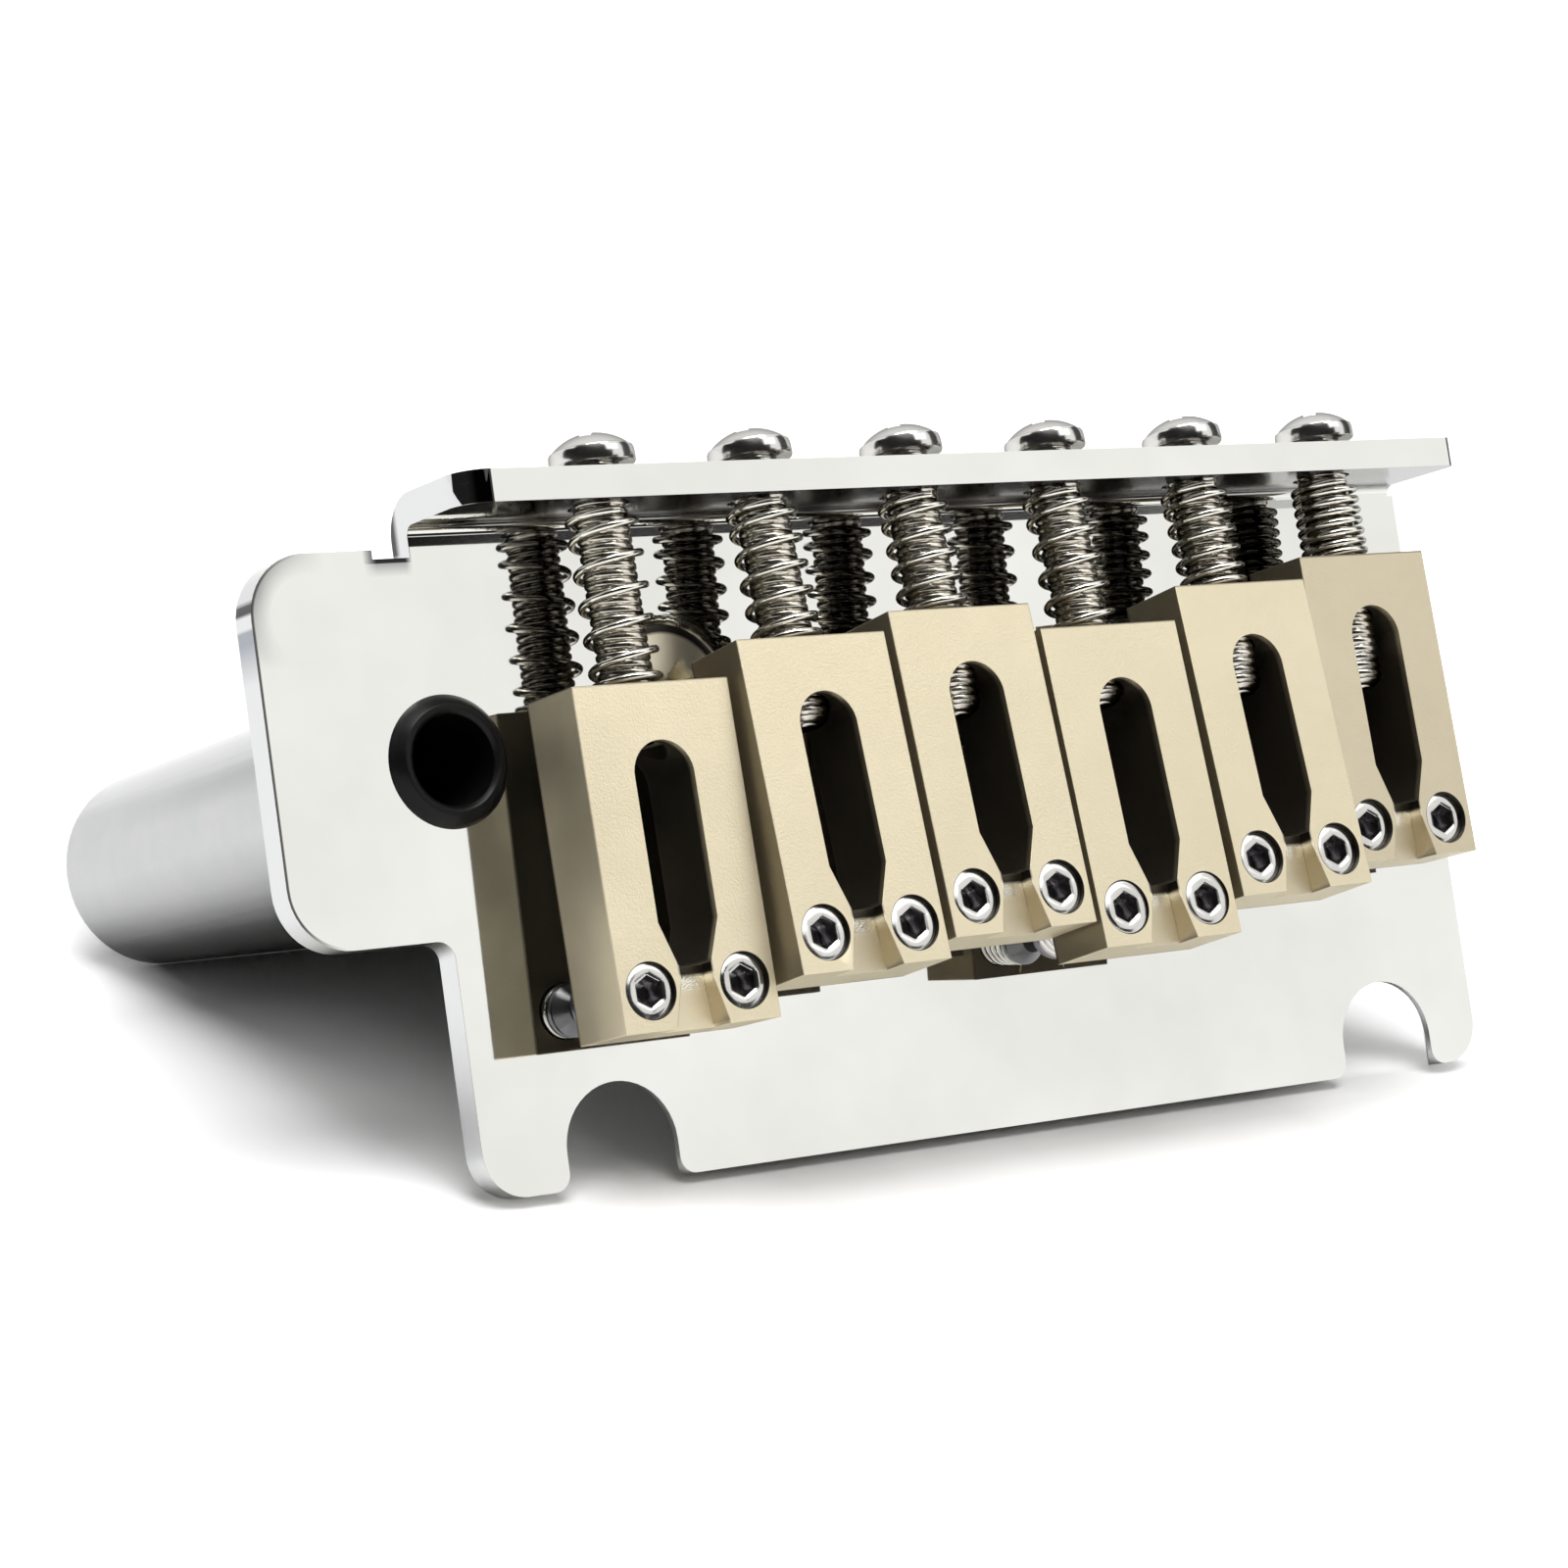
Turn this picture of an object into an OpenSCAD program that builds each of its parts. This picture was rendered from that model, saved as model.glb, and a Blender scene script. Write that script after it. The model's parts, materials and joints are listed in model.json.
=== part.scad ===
// Six-string guitar tremolo bridge, two-stud type.
// Origin: midway between the two pivot studs, on the plate's top face.
// +X runs towards the low string, +Y towards the rear lip, +Z out of the plate.

/* [Baseplate] */
// Thickness of the bent sheet
plate_t = 1.8; // [1.6:0.1:2.3]
// Side of the plate on the arm's side, from the middle
plate_left = 36.8; // [35:0.1:37.5]
// Side of the plate on the low string's side, from the middle
plate_right = 35.4; // [34.6:0.1:37]
// Front edge of the plate, ahead of the studs' centre line
front_run = 2; // [1.6:0.1:2.6]
// Radius of the plate's two front corners
front_corner_r = 2.6; // [1:0.1:3]

/* [Stud notches] */
// Distance between the two pivot studs
stud_spacing = 56; // [54:0.1:57]
// Radius of each stud notch
notch_r = 3.55; // [3:0.05:3.8]
// Radius of the corners at each notch's mouth
notch_corner_r = 1; // [0.6:0.1:1.2]
// How far the knife edge is bevelled back under the notch
knife_bevel = 1.2; // [0.6:0.1:1.5]
// Height of the flat above the knife edge's bevel
knife_land = 0.4; // [0.2:0.1:0.8]

/* [Arm ear] */
// Outer side of the ear that carries the arm, from the middle
ear_left = 46.3; // [44.5:0.1:48]
// Front edge of the ear
ear_front = 12.1; // [10:0.1:14]
// Rear edge of the ear
ear_rear = 33.4; // [33.2:0.1:33.6]
// Radius of the ear's outer corners
ear_corner_r = 3.5; // [1.5:0.1:4]
// Radius of the inside corner where the ear meets the plate's side
ear_inner_r = 1; // [0.4:0.1:1.5]
// Width of the relief cut between the ear and the bend
relief_w = 2.3; // [1.5:0.1:3]
// Front end of the relief cut
relief_y = 32.9; // [32.5:0.1:33]

/* [Rear lip] */
// Front face of the lip
lip_y = 34.6; // [34.4:0.1:36]
// Height of the lip above the plate's top face
lip_h = 6.5; // [6:0.1:8]
// Inside radius of the bend
bend_r = 0.6; // [0.4:0.1:0.8]
// End of the lip on the arm's side
lip_left = 36.3; // [35.5:0.1:36.8]
// End of the lip on the low string's side
lip_right = 35; // [34:0.1:35.4]
// Radius of the lip's upper corner on the arm's side
lip_corner_r = 1.8; // [1:0.1:4.6]
// Radius of the lip's other upper corner
lip_end_r = 0.6; // [0.3:0.1:1.5]
// Height of the screw line above the plate, at the lip
screw_line_z = 3.7; // [3.5:0.1:4]
// Play of an intonation screw in its hole in the lip
lip_hole_play = 0.25; // [0.2:0.01:0.3]

/* [Strings] */
// Distance from string to string
string_pitch = 10.5; // [10.4:0.1:10.8]
// Row of string holes, behind the studs' centre line
string_row_y = 18.8; // [18.4:0.1:19]
// Radius of the string holes in the block
string_hole_r = 1.6; // [1.2:0.1:1.8]
// Radius of the string holes in the plate
plate_hole_r = 1.8; // [1.6:0.1:2.2]
// Radius of the bore that takes a string's ball end
ball_bore_r = 2.5; // [2.2:0.1:2.6]
// Depth of the ball bores, from the block's foot
ball_bore_depth = 28; // [20:0.5:32]

/* [Block] */
// Height of the block below the plate
block_h = 38.6; // [36:0.1:44]
// Middle of the block's thickness, behind the studs' centre line
block_y = 21; // [20.8:0.1:21.2]
// Thickness of the block at the plate
block_top_t = 13.1; // [12.8:0.1:14]
// Thickness of the block at its foot
block_foot_t = 11.8; // [11.6:0.1:12.8]
// Middle of the block's round end, on the arm's side
block_left = 34; // [33.6:0.1:34.6]
// Flat end of the block on the low string's side
block_right = 32.5; // [31:0.1:34]
// Radius of the block's spring holes
spring_hole_r = 1.2; // [1:0.1:1.4]
// Depth of the block's spring holes
spring_hole_depth = 8; // [5:0.5:10]
// Row of spring holes, behind the studs' centre line
spring_row_y = 24.4; // [24:0.1:24.8]

/* [Arm socket] */
// Arm socket, to the arm's side of the middle
arm_x = 35.6; // [35.2:0.1:36]
// Arm socket, behind the studs' centre line
arm_y = 21.7; // [21.2:0.1:22]
// Outer radius of the threaded bushing
bushing_r = 3.5; // [3.3:0.05:3.6]
// Radius of the bushing's threaded bore
bushing_bore_r = 2.5; // [2.3:0.05:2.7]
// Length of the bushing below the plate's top face
bushing_l = 24; // [14:0.5:26]
// Radius of the bushing's collar where it sits on the plate
collar_r = 3.7; // [3.65:0.01:3.8]
// Radius of the collar at its rim
collar_rim_r = 3.05; // [3:0.05:3.2]
// Height of the collar
collar_h = 0.8; // [0.6:0.1:1.2]
// Width of the bevel at the bushing's mouth
bushing_bevel = 0.25; // [0.1:0.05:0.3]
// Play between the bushing and its socket
bushing_play = 0.04; // [0.02:0.01:0.06]

/* [Block screws] */
// Distance between the three screws that hold the block
block_screw_pitch = 20.9; // [20.6:0.1:21.2]
// Row of block screws, behind the studs' centre line
block_screw_y = 24.4; // [24:0.1:24.6]
// Radius of a block screw
block_screw_r = 2; // [1.8:0.1:2.2]
// Length of a block screw under its head
block_screw_l = 11; // [8:0.5:14]
// Radius of a block screw's countersink at the plate's top face
block_sink_r = 4.8; // [4.4:0.1:4.9]
// Depth of the head's flat top below the plate's top face
block_head_sunk = 0.35; // [0.2:0.05:0.5]
// Play round a block screw
block_screw_play = 0.05; // [0.03:0.01:0.1]
// Span of the cross recess in a block screw's head
block_recess_span = 4.6; // [3.6:0.1:5]

/* [Saddles] */
// Gap between one saddle and the next
saddle_gap = 0.5; // [0.3:0.1:0.8]
// Length of a saddle
saddle_l = 18.8; // [18.4:0.1:19.4]
// Saddle above the screw line
saddle_above = 2.3; // [2.2:0.1:2.6]
// Saddle below the screw line
saddle_below = 2.5; // [2.2:0.1:2.6]
// Distance of each saddle's front face from the lip's middle, high string first
saddle_reach = [29.9, 28.2, 27.1, 28.6, 26.6, 25]; // [24.7:0.1:31.5]
// Rise of each saddle's screw line, in degrees
saddle_rise = [2, 6, 6.1, 5.6, 6.2, 2.3]; // [0.5:0.1:6.4]
// Width of the slot that the string passes through
slot_w = 3.8; // [3.6:0.1:4]
// Wall between the slot and the saddle's rear face
slot_wall = 3.2; // [2.8:0.1:3.6]
// Front end of the slot, from the saddle's front face
crown_back = 3.4; // [3.3:0.1:3.7]
// Width of the slot at its front end
slot_front_w = 2.1; // [1.8:0.1:2.2]
// Length over which the slot narrows
slot_taper_l = 2.4; // [2:0.1:3]
// Front of the crown that the string bends over
crown_front = 2.6; // [2.3:0.1:2.8]
// Depth of the crown below the saddle's top face
crown_drop = 0.9; // [0.6:0.1:1.1]
// Depth of the valley at the saddle's front face
valley_drop = 1.7; // [1.3:0.1:2]
// Width of the valley at the crown
valley_back_w = 2; // [1.8:0.1:2.2]
// Width of the valley at the saddle's front face
valley_front_w = 3.4; // [3:0.1:3.8]

/* [Intonation screws] */
// Radius of an intonation screw
screw_r = 1.5; // [1.4:0.05:1.55]
// Radius of its head
head_r = 2.4; // [2.2:0.1:2.7]
// Height of its head
head_h = 1.9; // [1.7:0.1:2.5]
// Height of the head's domed top
head_dome = 1.1; // [0.8:0.1:1.4]
// Least play between the head and the lip's rear face
head_play = 0.03; // [0.02:0.01:0.05]
// Tip of the screw, ahead of the lip's middle
screw_tip = 14.2; // [13.8:0.1:14.6]
// Width of the cross recess
recess_w = 0.8; // [0.6:0.1:1]
// Span of the cross recess
recess_span = 2.8; // [2.2:0.1:3]
// Depth of the cross recess
recess_depth = 1.2; // [0.8:0.1:1.4]
// Play of the screws in the saddle
thread_play = 0.05; // [0.03:0.01:0.08]
// Steepest rise that a screw line can be set to, in degrees
steepest = 8; // [7:0.5:8]

/* [Intonation springs] */
// Diameter of the spring wire
wire_d = 0.42; // [0.36:0.01:0.42]
// Least play between a spring and its screw
coil_play = 0.05; // [0.03:0.01:0.2]
// Free curls of a spring
curls = 4.5; // [3.5:0.5:4.5]
// Distance of a spring's ends from what they press on
spring_seat = 0.05; // [0.03:0.01:0.2]

/* [Height screws] */
// Radius of a height screw
set_r = 1.5; // [1.4:0.05:1.55]
// Wall between a height screw and the saddle's side
set_wall = 0.5; // [0.4:0.05:0.6]
// Height screws, behind the saddle's front face
set_back = 2.2; // [2.1:0.05:2.4]
// Length of each saddle's height screws
set_length = [6.5, 8, 8, 8, 8, 6.5]; // [6:0.5:9.5]
// Width of the hexagon socket across its flats
socket_flats = 1.5; // [1.3:0.1:1.6]
// Depth of the hexagon socket
socket_depth = 1.6; // [1:0.1:2]
// Radius of the flat at the screw's tip
set_tip_r = 0.8; // [0.6:0.1:1]
// Least distance from a height screw's tip to the plate
set_gap = 0.05; // [0.03:0.01:0.1]
// Nearest that a saddle's rear face comes to the lip's middle
rear_stop = 5.5; // [5.4:0.1:5.9]

/* [Hidden] */
$fn = 48;
STRINGS = 6;
CUT = 1;
RINGS_PER_CURL = 8;
WIRE_SIDES = 6;
BLOCK_SCREWS = 3;
SPRING_HOLES = 5;
hinge_y = lip_y + plate_t / 2;
bend_start = lip_y - bend_r;
block_half = block_top_t / 2;
block_foot_half = block_foot_t / 2;
block_head_r = block_screw_r - block_screw_play
    + (block_sink_r - block_screw_r) * (1 - block_head_sunk / plate_t);
saddle_w = string_pitch - saddle_gap;
set_side = saddle_w / 2 - set_wall - set_r;
head_seat = (plate_t / 2 + head_r * sin(steepest) + head_play) / cos(steepest);
coil_r = (screw_r + coil_play + wire_d / 2) / cos(180 / RINGS_PER_CURL);
spring_start = (plate_t / 2 + (coil_r + wire_d / 2) * sin(steepest)) / cos(steepest) + spring_seat;
steel = [0.86, 0.87, 0.88];
cast = [0.68, 0.69, 0.7];
champagne = [0.82, 0.77, 0.66];
black = [0.05, 0.05, 0.05];

function string_x(k) = (k - (STRINGS + 1) / 2) * string_pitch;
function reach(k) = saddle_reach[k - 1];
function rise(k) = saddle_rise[k - 1];
function rear_face(k) = reach(k) - saddle_l;

// What a saddle sinks by when it is drawn back to its stop along the rising screw line
function sink(k) = (rear_face(k) - rear_stop) * sin(rise(k));

// Distance of a height screw's tip below the screw line
function tip_depth(k) =
    let (arm = reach(k) - set_back)
    let (corner = set_tip_r * sin(rise(k)))
    (screw_line_z + arm * sin(rise(k)) - set_gap - sink(k) - corner) / cos(rise(k));

// Places a piece on the screw line of string k: its -Y points along the screw, to the front
module on_screw_line(k) {
    translate([string_x(k), hinge_y, screw_line_z])
        rotate([-rise(k), 0, 0])
            children();
}

// What a round corner of radius r takes off a square one, with the square's point at the origin
module corner_cut(r) {
    difference() {
        translate([-CUT, -CUT]) square(r + CUT);
        translate([r, r]) circle(r);
    }
}

module notch_outline(x) {
    translate([x, 0]) circle(notch_r);
    translate([x - notch_r, -front_run - CUT]) square([2 * notch_r, front_run + CUT]);
    translate([x + notch_r, -front_run]) corner_cut(notch_corner_r);
    translate([x - notch_r, -front_run]) mirror([1, 0]) corner_cut(notch_corner_r);
}

module ear_outline() {
    difference() {
        translate([-ear_left, ear_front])
            square([ear_left - plate_left + CUT, ear_rear - ear_front]);
        translate([-lip_left - relief_w, relief_y])
            square([relief_w, ear_rear - relief_y + CUT]);
        translate([-ear_left, ear_front]) corner_cut(ear_corner_r);
        translate([-ear_left, ear_rear]) mirror([0, 1]) corner_cut(ear_corner_r);
    }
    difference() {
        translate([-plate_left - ear_inner_r, ear_front - ear_inner_r])
            square([ear_inner_r + CUT, ear_inner_r + CUT]);
        translate([-plate_left - ear_inner_r, ear_front - ear_inner_r]) circle(ear_inner_r);
    }
}

module plate_outline() {
    difference() {
        union() {
            translate([-plate_left, -front_run])
                square([plate_left + plate_right, relief_y + front_run]);
            translate([-lip_left, relief_y - CUT])
                square([lip_left + plate_right, bend_start - relief_y + CUT]);
        }
        translate([-plate_left, -front_run]) corner_cut(front_corner_r);
        translate([plate_right, -front_run]) mirror([1, 0]) corner_cut(front_corner_r);
        for (side = [-1, 1])
            notch_outline(side * stud_spacing / 2);
    }
    ear_outline();
}

// Section of the bend and the lip, drawn with Y to the right and Z up
module lip_section() {
    translate([bend_start, bend_r]) intersection() {
        difference() {
            circle(bend_r + plate_t);
            circle(bend_r);
        }
        translate([0, -bend_r - plate_t]) square(bend_r + plate_t);
    }
    translate([lip_y, bend_r]) square([plate_t, lip_h - bend_r]);
}

module lip() {
    difference() {
        translate([-lip_left, 0, 0])
            rotate([90, 0, 90])
                linear_extrude(lip_left + lip_right) lip_section();
        translate([-lip_left, lip_y + plate_t + CUT, lip_h])
            rotate([90, 0, 0])
                linear_extrude(plate_t + 2 * CUT) mirror([0, 1]) corner_cut(lip_corner_r);
        translate([lip_right, lip_y + plate_t + CUT, lip_h])
            rotate([90, 0, 0])
                linear_extrude(plate_t + 2 * CUT) rotate(180) corner_cut(lip_end_r);
    }
}

// The bevel under a notch leaves a knife edge at the plate's top for the stud's groove
module knife_edge(x) {
    bevel_h = plate_t - knife_land;
    translate([x, 0, -plate_t])
        cylinder(h = bevel_h, r1 = notch_r + knife_bevel, r2 = notch_r);
    translate([x, 0, -plate_t])
        rotate([90, 0, 0]) linear_extrude(front_run + CUT) polygon([
            [-notch_r - knife_bevel, 0],
            [notch_r + knife_bevel, 0],
            [notch_r, bevel_h],
            [-notch_r, bevel_h]
        ]);
}

module block_screw_places() {
    for (i = [0 : BLOCK_SCREWS - 1])
        translate([(i - (BLOCK_SCREWS - 1) / 2) * block_screw_pitch, block_screw_y, 0])
            children();
}

module baseplate() {
    color(steel) difference() {
        union() {
            translate([0, 0, -plate_t]) linear_extrude(plate_t) plate_outline();
            lip();
        }
        for (side = [-1, 1])
            knife_edge(side * stud_spacing / 2);
        translate([-arm_x, arm_y, -plate_t - CUT])
            cylinder(h = plate_t + 2 * CUT, r = bushing_r + bushing_play);
        for (k = [1 : STRINGS]) {
            translate([string_x(k), string_row_y, -plate_t - CUT])
                cylinder(h = plate_t + 2 * CUT, r = plate_hole_r);
            translate([string_x(k), lip_y - CUT, screw_line_z])
                rotate([-90, 0, 0])
                    cylinder(h = plate_t + 2 * CUT, r = screw_r + lip_hole_play);
        }
        block_screw_places() {
            translate([0, 0, -plate_t - CUT])
                cylinder(h = plate_t + 2 * CUT, r = block_screw_r + block_screw_play);
            translate([0, 0, -plate_t])
                cylinder(h = plate_t, r1 = block_screw_r, r2 = block_sink_r);
        }
    }
}

// Section of the block, drawn with Y to the right and Z up
module block_section() {
    polygon([
        [block_y - block_half, -plate_t],
        [block_y + block_half, -plate_t],
        [block_y + block_foot_half, -plate_t - block_h],
        [block_y - block_foot_half, -plate_t - block_h]
    ]);
}

module tremolo_block() {
    foot_z = -plate_t - block_h;
    color(cast) difference() {
        union() {
            translate([-block_left, 0, 0])
                rotate([90, 0, 90]) linear_extrude(block_left + block_right) block_section();
            translate([-block_left, block_y, foot_z])
                cylinder(h = block_h, r1 = block_foot_half, r2 = block_half);
        }
        translate([-arm_x, arm_y, -bushing_l - bushing_play])
            cylinder(h = bushing_l + bushing_play + CUT, r = bushing_r + bushing_play);
        for (k = [1 : STRINGS]) {
            translate([string_x(k), string_row_y, foot_z - CUT])
                cylinder(h = block_h + 2 * CUT, r = string_hole_r);
            translate([string_x(k), string_row_y, foot_z - CUT])
                cylinder(h = ball_bore_depth + CUT, r = ball_bore_r);
        }
        for (i = [0 : SPRING_HOLES - 1])
            translate([(i - (SPRING_HOLES - 1) / 2) * string_pitch, spring_row_y, foot_z - CUT])
                cylinder(h = spring_hole_depth + CUT, r = spring_hole_r);
        block_screw_places()
            translate([0, 0, -plate_t - block_screw_l - block_screw_play])
                cylinder(h = block_screw_l + 2 * CUT, r = block_screw_r + block_screw_play);
    }
}

module cross_recess(top, span) {
    for (turn = [45, 135])
        rotate(turn)
            translate([-span / 2, -recess_w / 2, top - recess_depth])
                cube([span, recess_w, recess_depth + CUT]);
}

module block_mounting_screws() {
    color(steel) block_screw_places() difference() {
        union() {
            translate([0, 0, -plate_t])
                cylinder(h = plate_t - block_head_sunk, r1 = block_screw_r, r2 = block_head_r);
            translate([0, 0, -plate_t - block_screw_l])
                cylinder(h = block_screw_l + CUT / 2, r = block_screw_r);
        }
        cross_recess(-block_head_sunk, block_recess_span);
    }
}

module arm_bushing() {
    color(black) translate([-arm_x, arm_y, 0]) rotate_extrude() polygon([
        [bushing_bore_r, -bushing_l],
        [bushing_r, -bushing_l],
        [bushing_r, 0],
        [collar_r, 0],
        [collar_rim_r, collar_h],
        [bushing_bore_r + bushing_bevel, collar_h],
        [bushing_bore_r, collar_h - bushing_bevel]
    ]);
}

// The slot that the string passes through, seen from above with the saddle's front face on
// the X axis: it narrows to the front, where the two height screws stand beside it
module slot_outline() {
    slot_rear = saddle_l - slot_wall;
    translate([0, slot_rear - slot_w / 2]) circle(slot_w / 2);
    polygon([
        [-slot_front_w / 2, crown_back],
        [slot_front_w / 2, crown_back],
        [slot_w / 2, crown_back + slot_taper_l],
        [slot_w / 2, slot_rear - slot_w / 2],
        [-slot_w / 2, slot_rear - slot_w / 2],
        [-slot_w / 2, crown_back + slot_taper_l]
    ]);
}

// The crown that the string bends over, and the valley that falls from it to the front face
module string_valley() {
    intersection() {
        linear_extrude(saddle_above + CUT) polygon([
            [-valley_back_w / 2, crown_back + CUT / 2],
            [-valley_back_w / 2, crown_front],
            [-valley_front_w / 2, 0],
            [-valley_front_w / 2, -CUT],
            [valley_front_w / 2, -CUT],
            [valley_front_w / 2, 0],
            [valley_back_w / 2, crown_front],
            [valley_back_w / 2, crown_back + CUT / 2]
        ]);
        translate([-saddle_w / 2, 0, 0])
            rotate([90, 0, 90]) linear_extrude(saddle_w) polygon([
                [crown_back + CUT / 2, saddle_above + CUT],
                [crown_back + CUT / 2, saddle_above - crown_drop],
                [crown_front, saddle_above - crown_drop],
                [0, saddle_above - valley_drop],
                [-CUT, saddle_above - valley_drop],
                [-CUT, saddle_above + CUT]
            ]);
    }
}

module saddle(k) {
    height = saddle_above + saddle_below;
    color(champagne) on_screw_line(k) translate([0, -reach(k), 0]) difference() {
        translate([-saddle_w / 2, 0, -saddle_below]) cube([saddle_w, saddle_l, height]);
        translate([0, 0, -saddle_below - CUT])
            linear_extrude(height + 2 * CUT) slot_outline();
        string_valley();
        translate([0, saddle_l + CUT, 0])
            rotate([90, 0, 0]) cylinder(h = slot_wall + CUT + slot_w / 2, r = screw_r + thread_play);
        for (side = [-1, 1])
            translate([side * set_side, set_back, -saddle_below - CUT])
                cylinder(h = height + 2 * CUT, r = set_r + thread_play);
    }
}

module intonation_screw(k) {
    dome_r = (head_r * head_r + head_dome * head_dome) / (2 * head_dome);
    color(steel) on_screw_line(k) rotate([-90, 0, 0]) difference() {
        union() {
            translate([0, 0, -screw_tip])
                cylinder(h = screw_tip + head_seat + CUT / 2, r = screw_r);
            translate([0, 0, head_seat]) intersection() {
                cylinder(h = head_h, r = head_r);
                translate([0, 0, head_h - dome_r]) sphere(dome_r);
            }
        }
        cross_recess(head_seat + head_h, recess_span);
    }
}

// End of a spring's wire, ahead of the lip's middle
function spring_end(k) = rear_face(k) - spring_seat;

// Middle line of the wire: straight at each end for one wire diameter, and a right-handed
// helix between, with a ring of points every eighth of a turn
function spring_line(k) =
    let (first = spring_start + wire_d)
    let (last = spring_end(k) - wire_d)
    let (steps = curls * RINGS_PER_CURL)
    let (helix = [
        for (i = [0 : steps])
            let (turn = 360 * i / RINGS_PER_CURL)
            [coil_r * cos(turn), -first - (last - first) * i / steps, coil_r * sin(turn)]
    ])
    concat(
        [[coil_r, -spring_start, 0]],
        helix,
        [[helix[steps].x, -spring_end(k), helix[steps].z]]
    );

function unit(v) = v / norm(v);

// Direction of the line at point i; the ends keep the direction of their straight pieces
function heading(line, i) =
    let (last = len(line) - 1)
    i == 0 ? unit(line[1] - line[0])
    : i == last ? unit(line[last] - line[last - 1])
    : unit(unit(line[i + 1] - line[i]) + unit(line[i] - line[i - 1]));

// A ring of points square to the line, its first point turned away from the spring's axis
function wire_ring(line, i) =
    let (along = heading(line, i))
    let (radial = [line[i].x, 0, line[i].z])
    let (out = unit(radial - along * (radial * along)))
    let (side = cross(along, out))
    [for (j = [0 : WIRE_SIDES - 1])
        line[i] + wire_d / 2 * (cos(360 * j / WIRE_SIDES) * out + sin(360 * j / WIRE_SIDES) * side)];

module wire(line) {
    rings = len(line);
    points = [for (i = [0 : rings - 1]) each wire_ring(line, i)];
    start_cap = [for (j = [1 : WIRE_SIDES - 2]) [0, j, j + 1]];
    end_first = (rings - 1) * WIRE_SIDES;
    end_cap = [for (j = [1 : WIRE_SIDES - 2]) [end_first, end_first + j + 1, end_first + j]];
    walls = [
        for (i = [0 : rings - 2])
            for (j = [0 : WIRE_SIDES - 1])
                let (a = i * WIRE_SIDES + j)
                let (b = i * WIRE_SIDES + (j + 1) % WIRE_SIDES)
                each [[a, a + WIRE_SIDES, b], [b, a + WIRE_SIDES, b + WIRE_SIDES]]
    ];
    polyhedron(points = points, faces = concat(start_cap, walls, end_cap));
}

// Least gap of a spring to itself: between points at least half a turn apart along the wire
function least_gap(line) = min([
    for (i = [0 : len(line) - 1])
        for (j = [i + RINGS_PER_CURL / 2 : 1 : len(line) - 1])
            norm(line[i] - line[j])
]) - wire_d;

module intonation_spring(k) {
    line = spring_line(k);
    echo(str("spring ", k, ": least gap to itself ", least_gap(line), " mm"));
    color(steel) on_screw_line(k) wire(line);
}

module height_screw(k, side) {
    shaft = set_length[k - 1];
    cone_h = set_r - set_tip_r;
    socket_r = socket_flats / 2 / cos(30);
    color(steel) on_screw_line(k)
        translate([side * set_side, -reach(k) + set_back, -tip_depth(k)]) difference() {
            union() {
                cylinder(h = cone_h, r1 = set_tip_r, r2 = set_r);
                translate([0, 0, cone_h]) cylinder(h = shaft - cone_h, r = set_r);
            }
            translate([0, 0, shaft - socket_depth])
                cylinder(h = socket_depth + CUT, r = socket_r, $fn = 6);
        }
}

baseplate();
tremolo_block();
block_mounting_screws();
arm_bushing();
saddle(1);  // saddle_1
saddle(2);  // saddle_2
saddle(3);  // saddle_3
saddle(4);  // saddle_4
saddle(5);  // saddle_5
saddle(6);  // saddle_6
intonation_screw(1);  // intonation_screw_1
intonation_screw(2);  // intonation_screw_2
intonation_screw(3);  // intonation_screw_3
intonation_screw(4);  // intonation_screw_4
intonation_screw(5);  // intonation_screw_5
intonation_screw(6);  // intonation_screw_6
intonation_spring(1);  // intonation_spring_1
intonation_spring(2);  // intonation_spring_2
intonation_spring(3);  // intonation_spring_3
intonation_spring(4);  // intonation_spring_4
intonation_spring(5);  // intonation_spring_5
intonation_spring(6);  // intonation_spring_6
height_screw(1, -1);  // height_screw_1_high
height_screw(2, -1);  // height_screw_2_high
height_screw(3, -1);  // height_screw_3_high
height_screw(4, -1);  // height_screw_4_high
height_screw(5, -1);  // height_screw_5_high
height_screw(6, -1);  // height_screw_6_high
height_screw(1, 1);  // height_screw_1_low
height_screw(2, 1);  // height_screw_2_low
height_screw(3, 1);  // height_screw_3_low
height_screw(4, 1);  // height_screw_4_low
height_screw(5, 1);  // height_screw_5_low
height_screw(6, 1);  // height_screw_6_low
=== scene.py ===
# %% [markdown]
# # A guitar tremolo bridge
#
# This lesson dresses a guitar's tremolo bridge: a bent, chromed plate, a heavy block under
# it, and six saddles that each hang on a sprung screw. The solid parts come from a CAD
# model, already in place, and everything below gives them their edges, threads and metal.

# %% The frame
import json

import bmesh
import bpy
import numpy as np
from mathutils import Matrix, Vector

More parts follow.
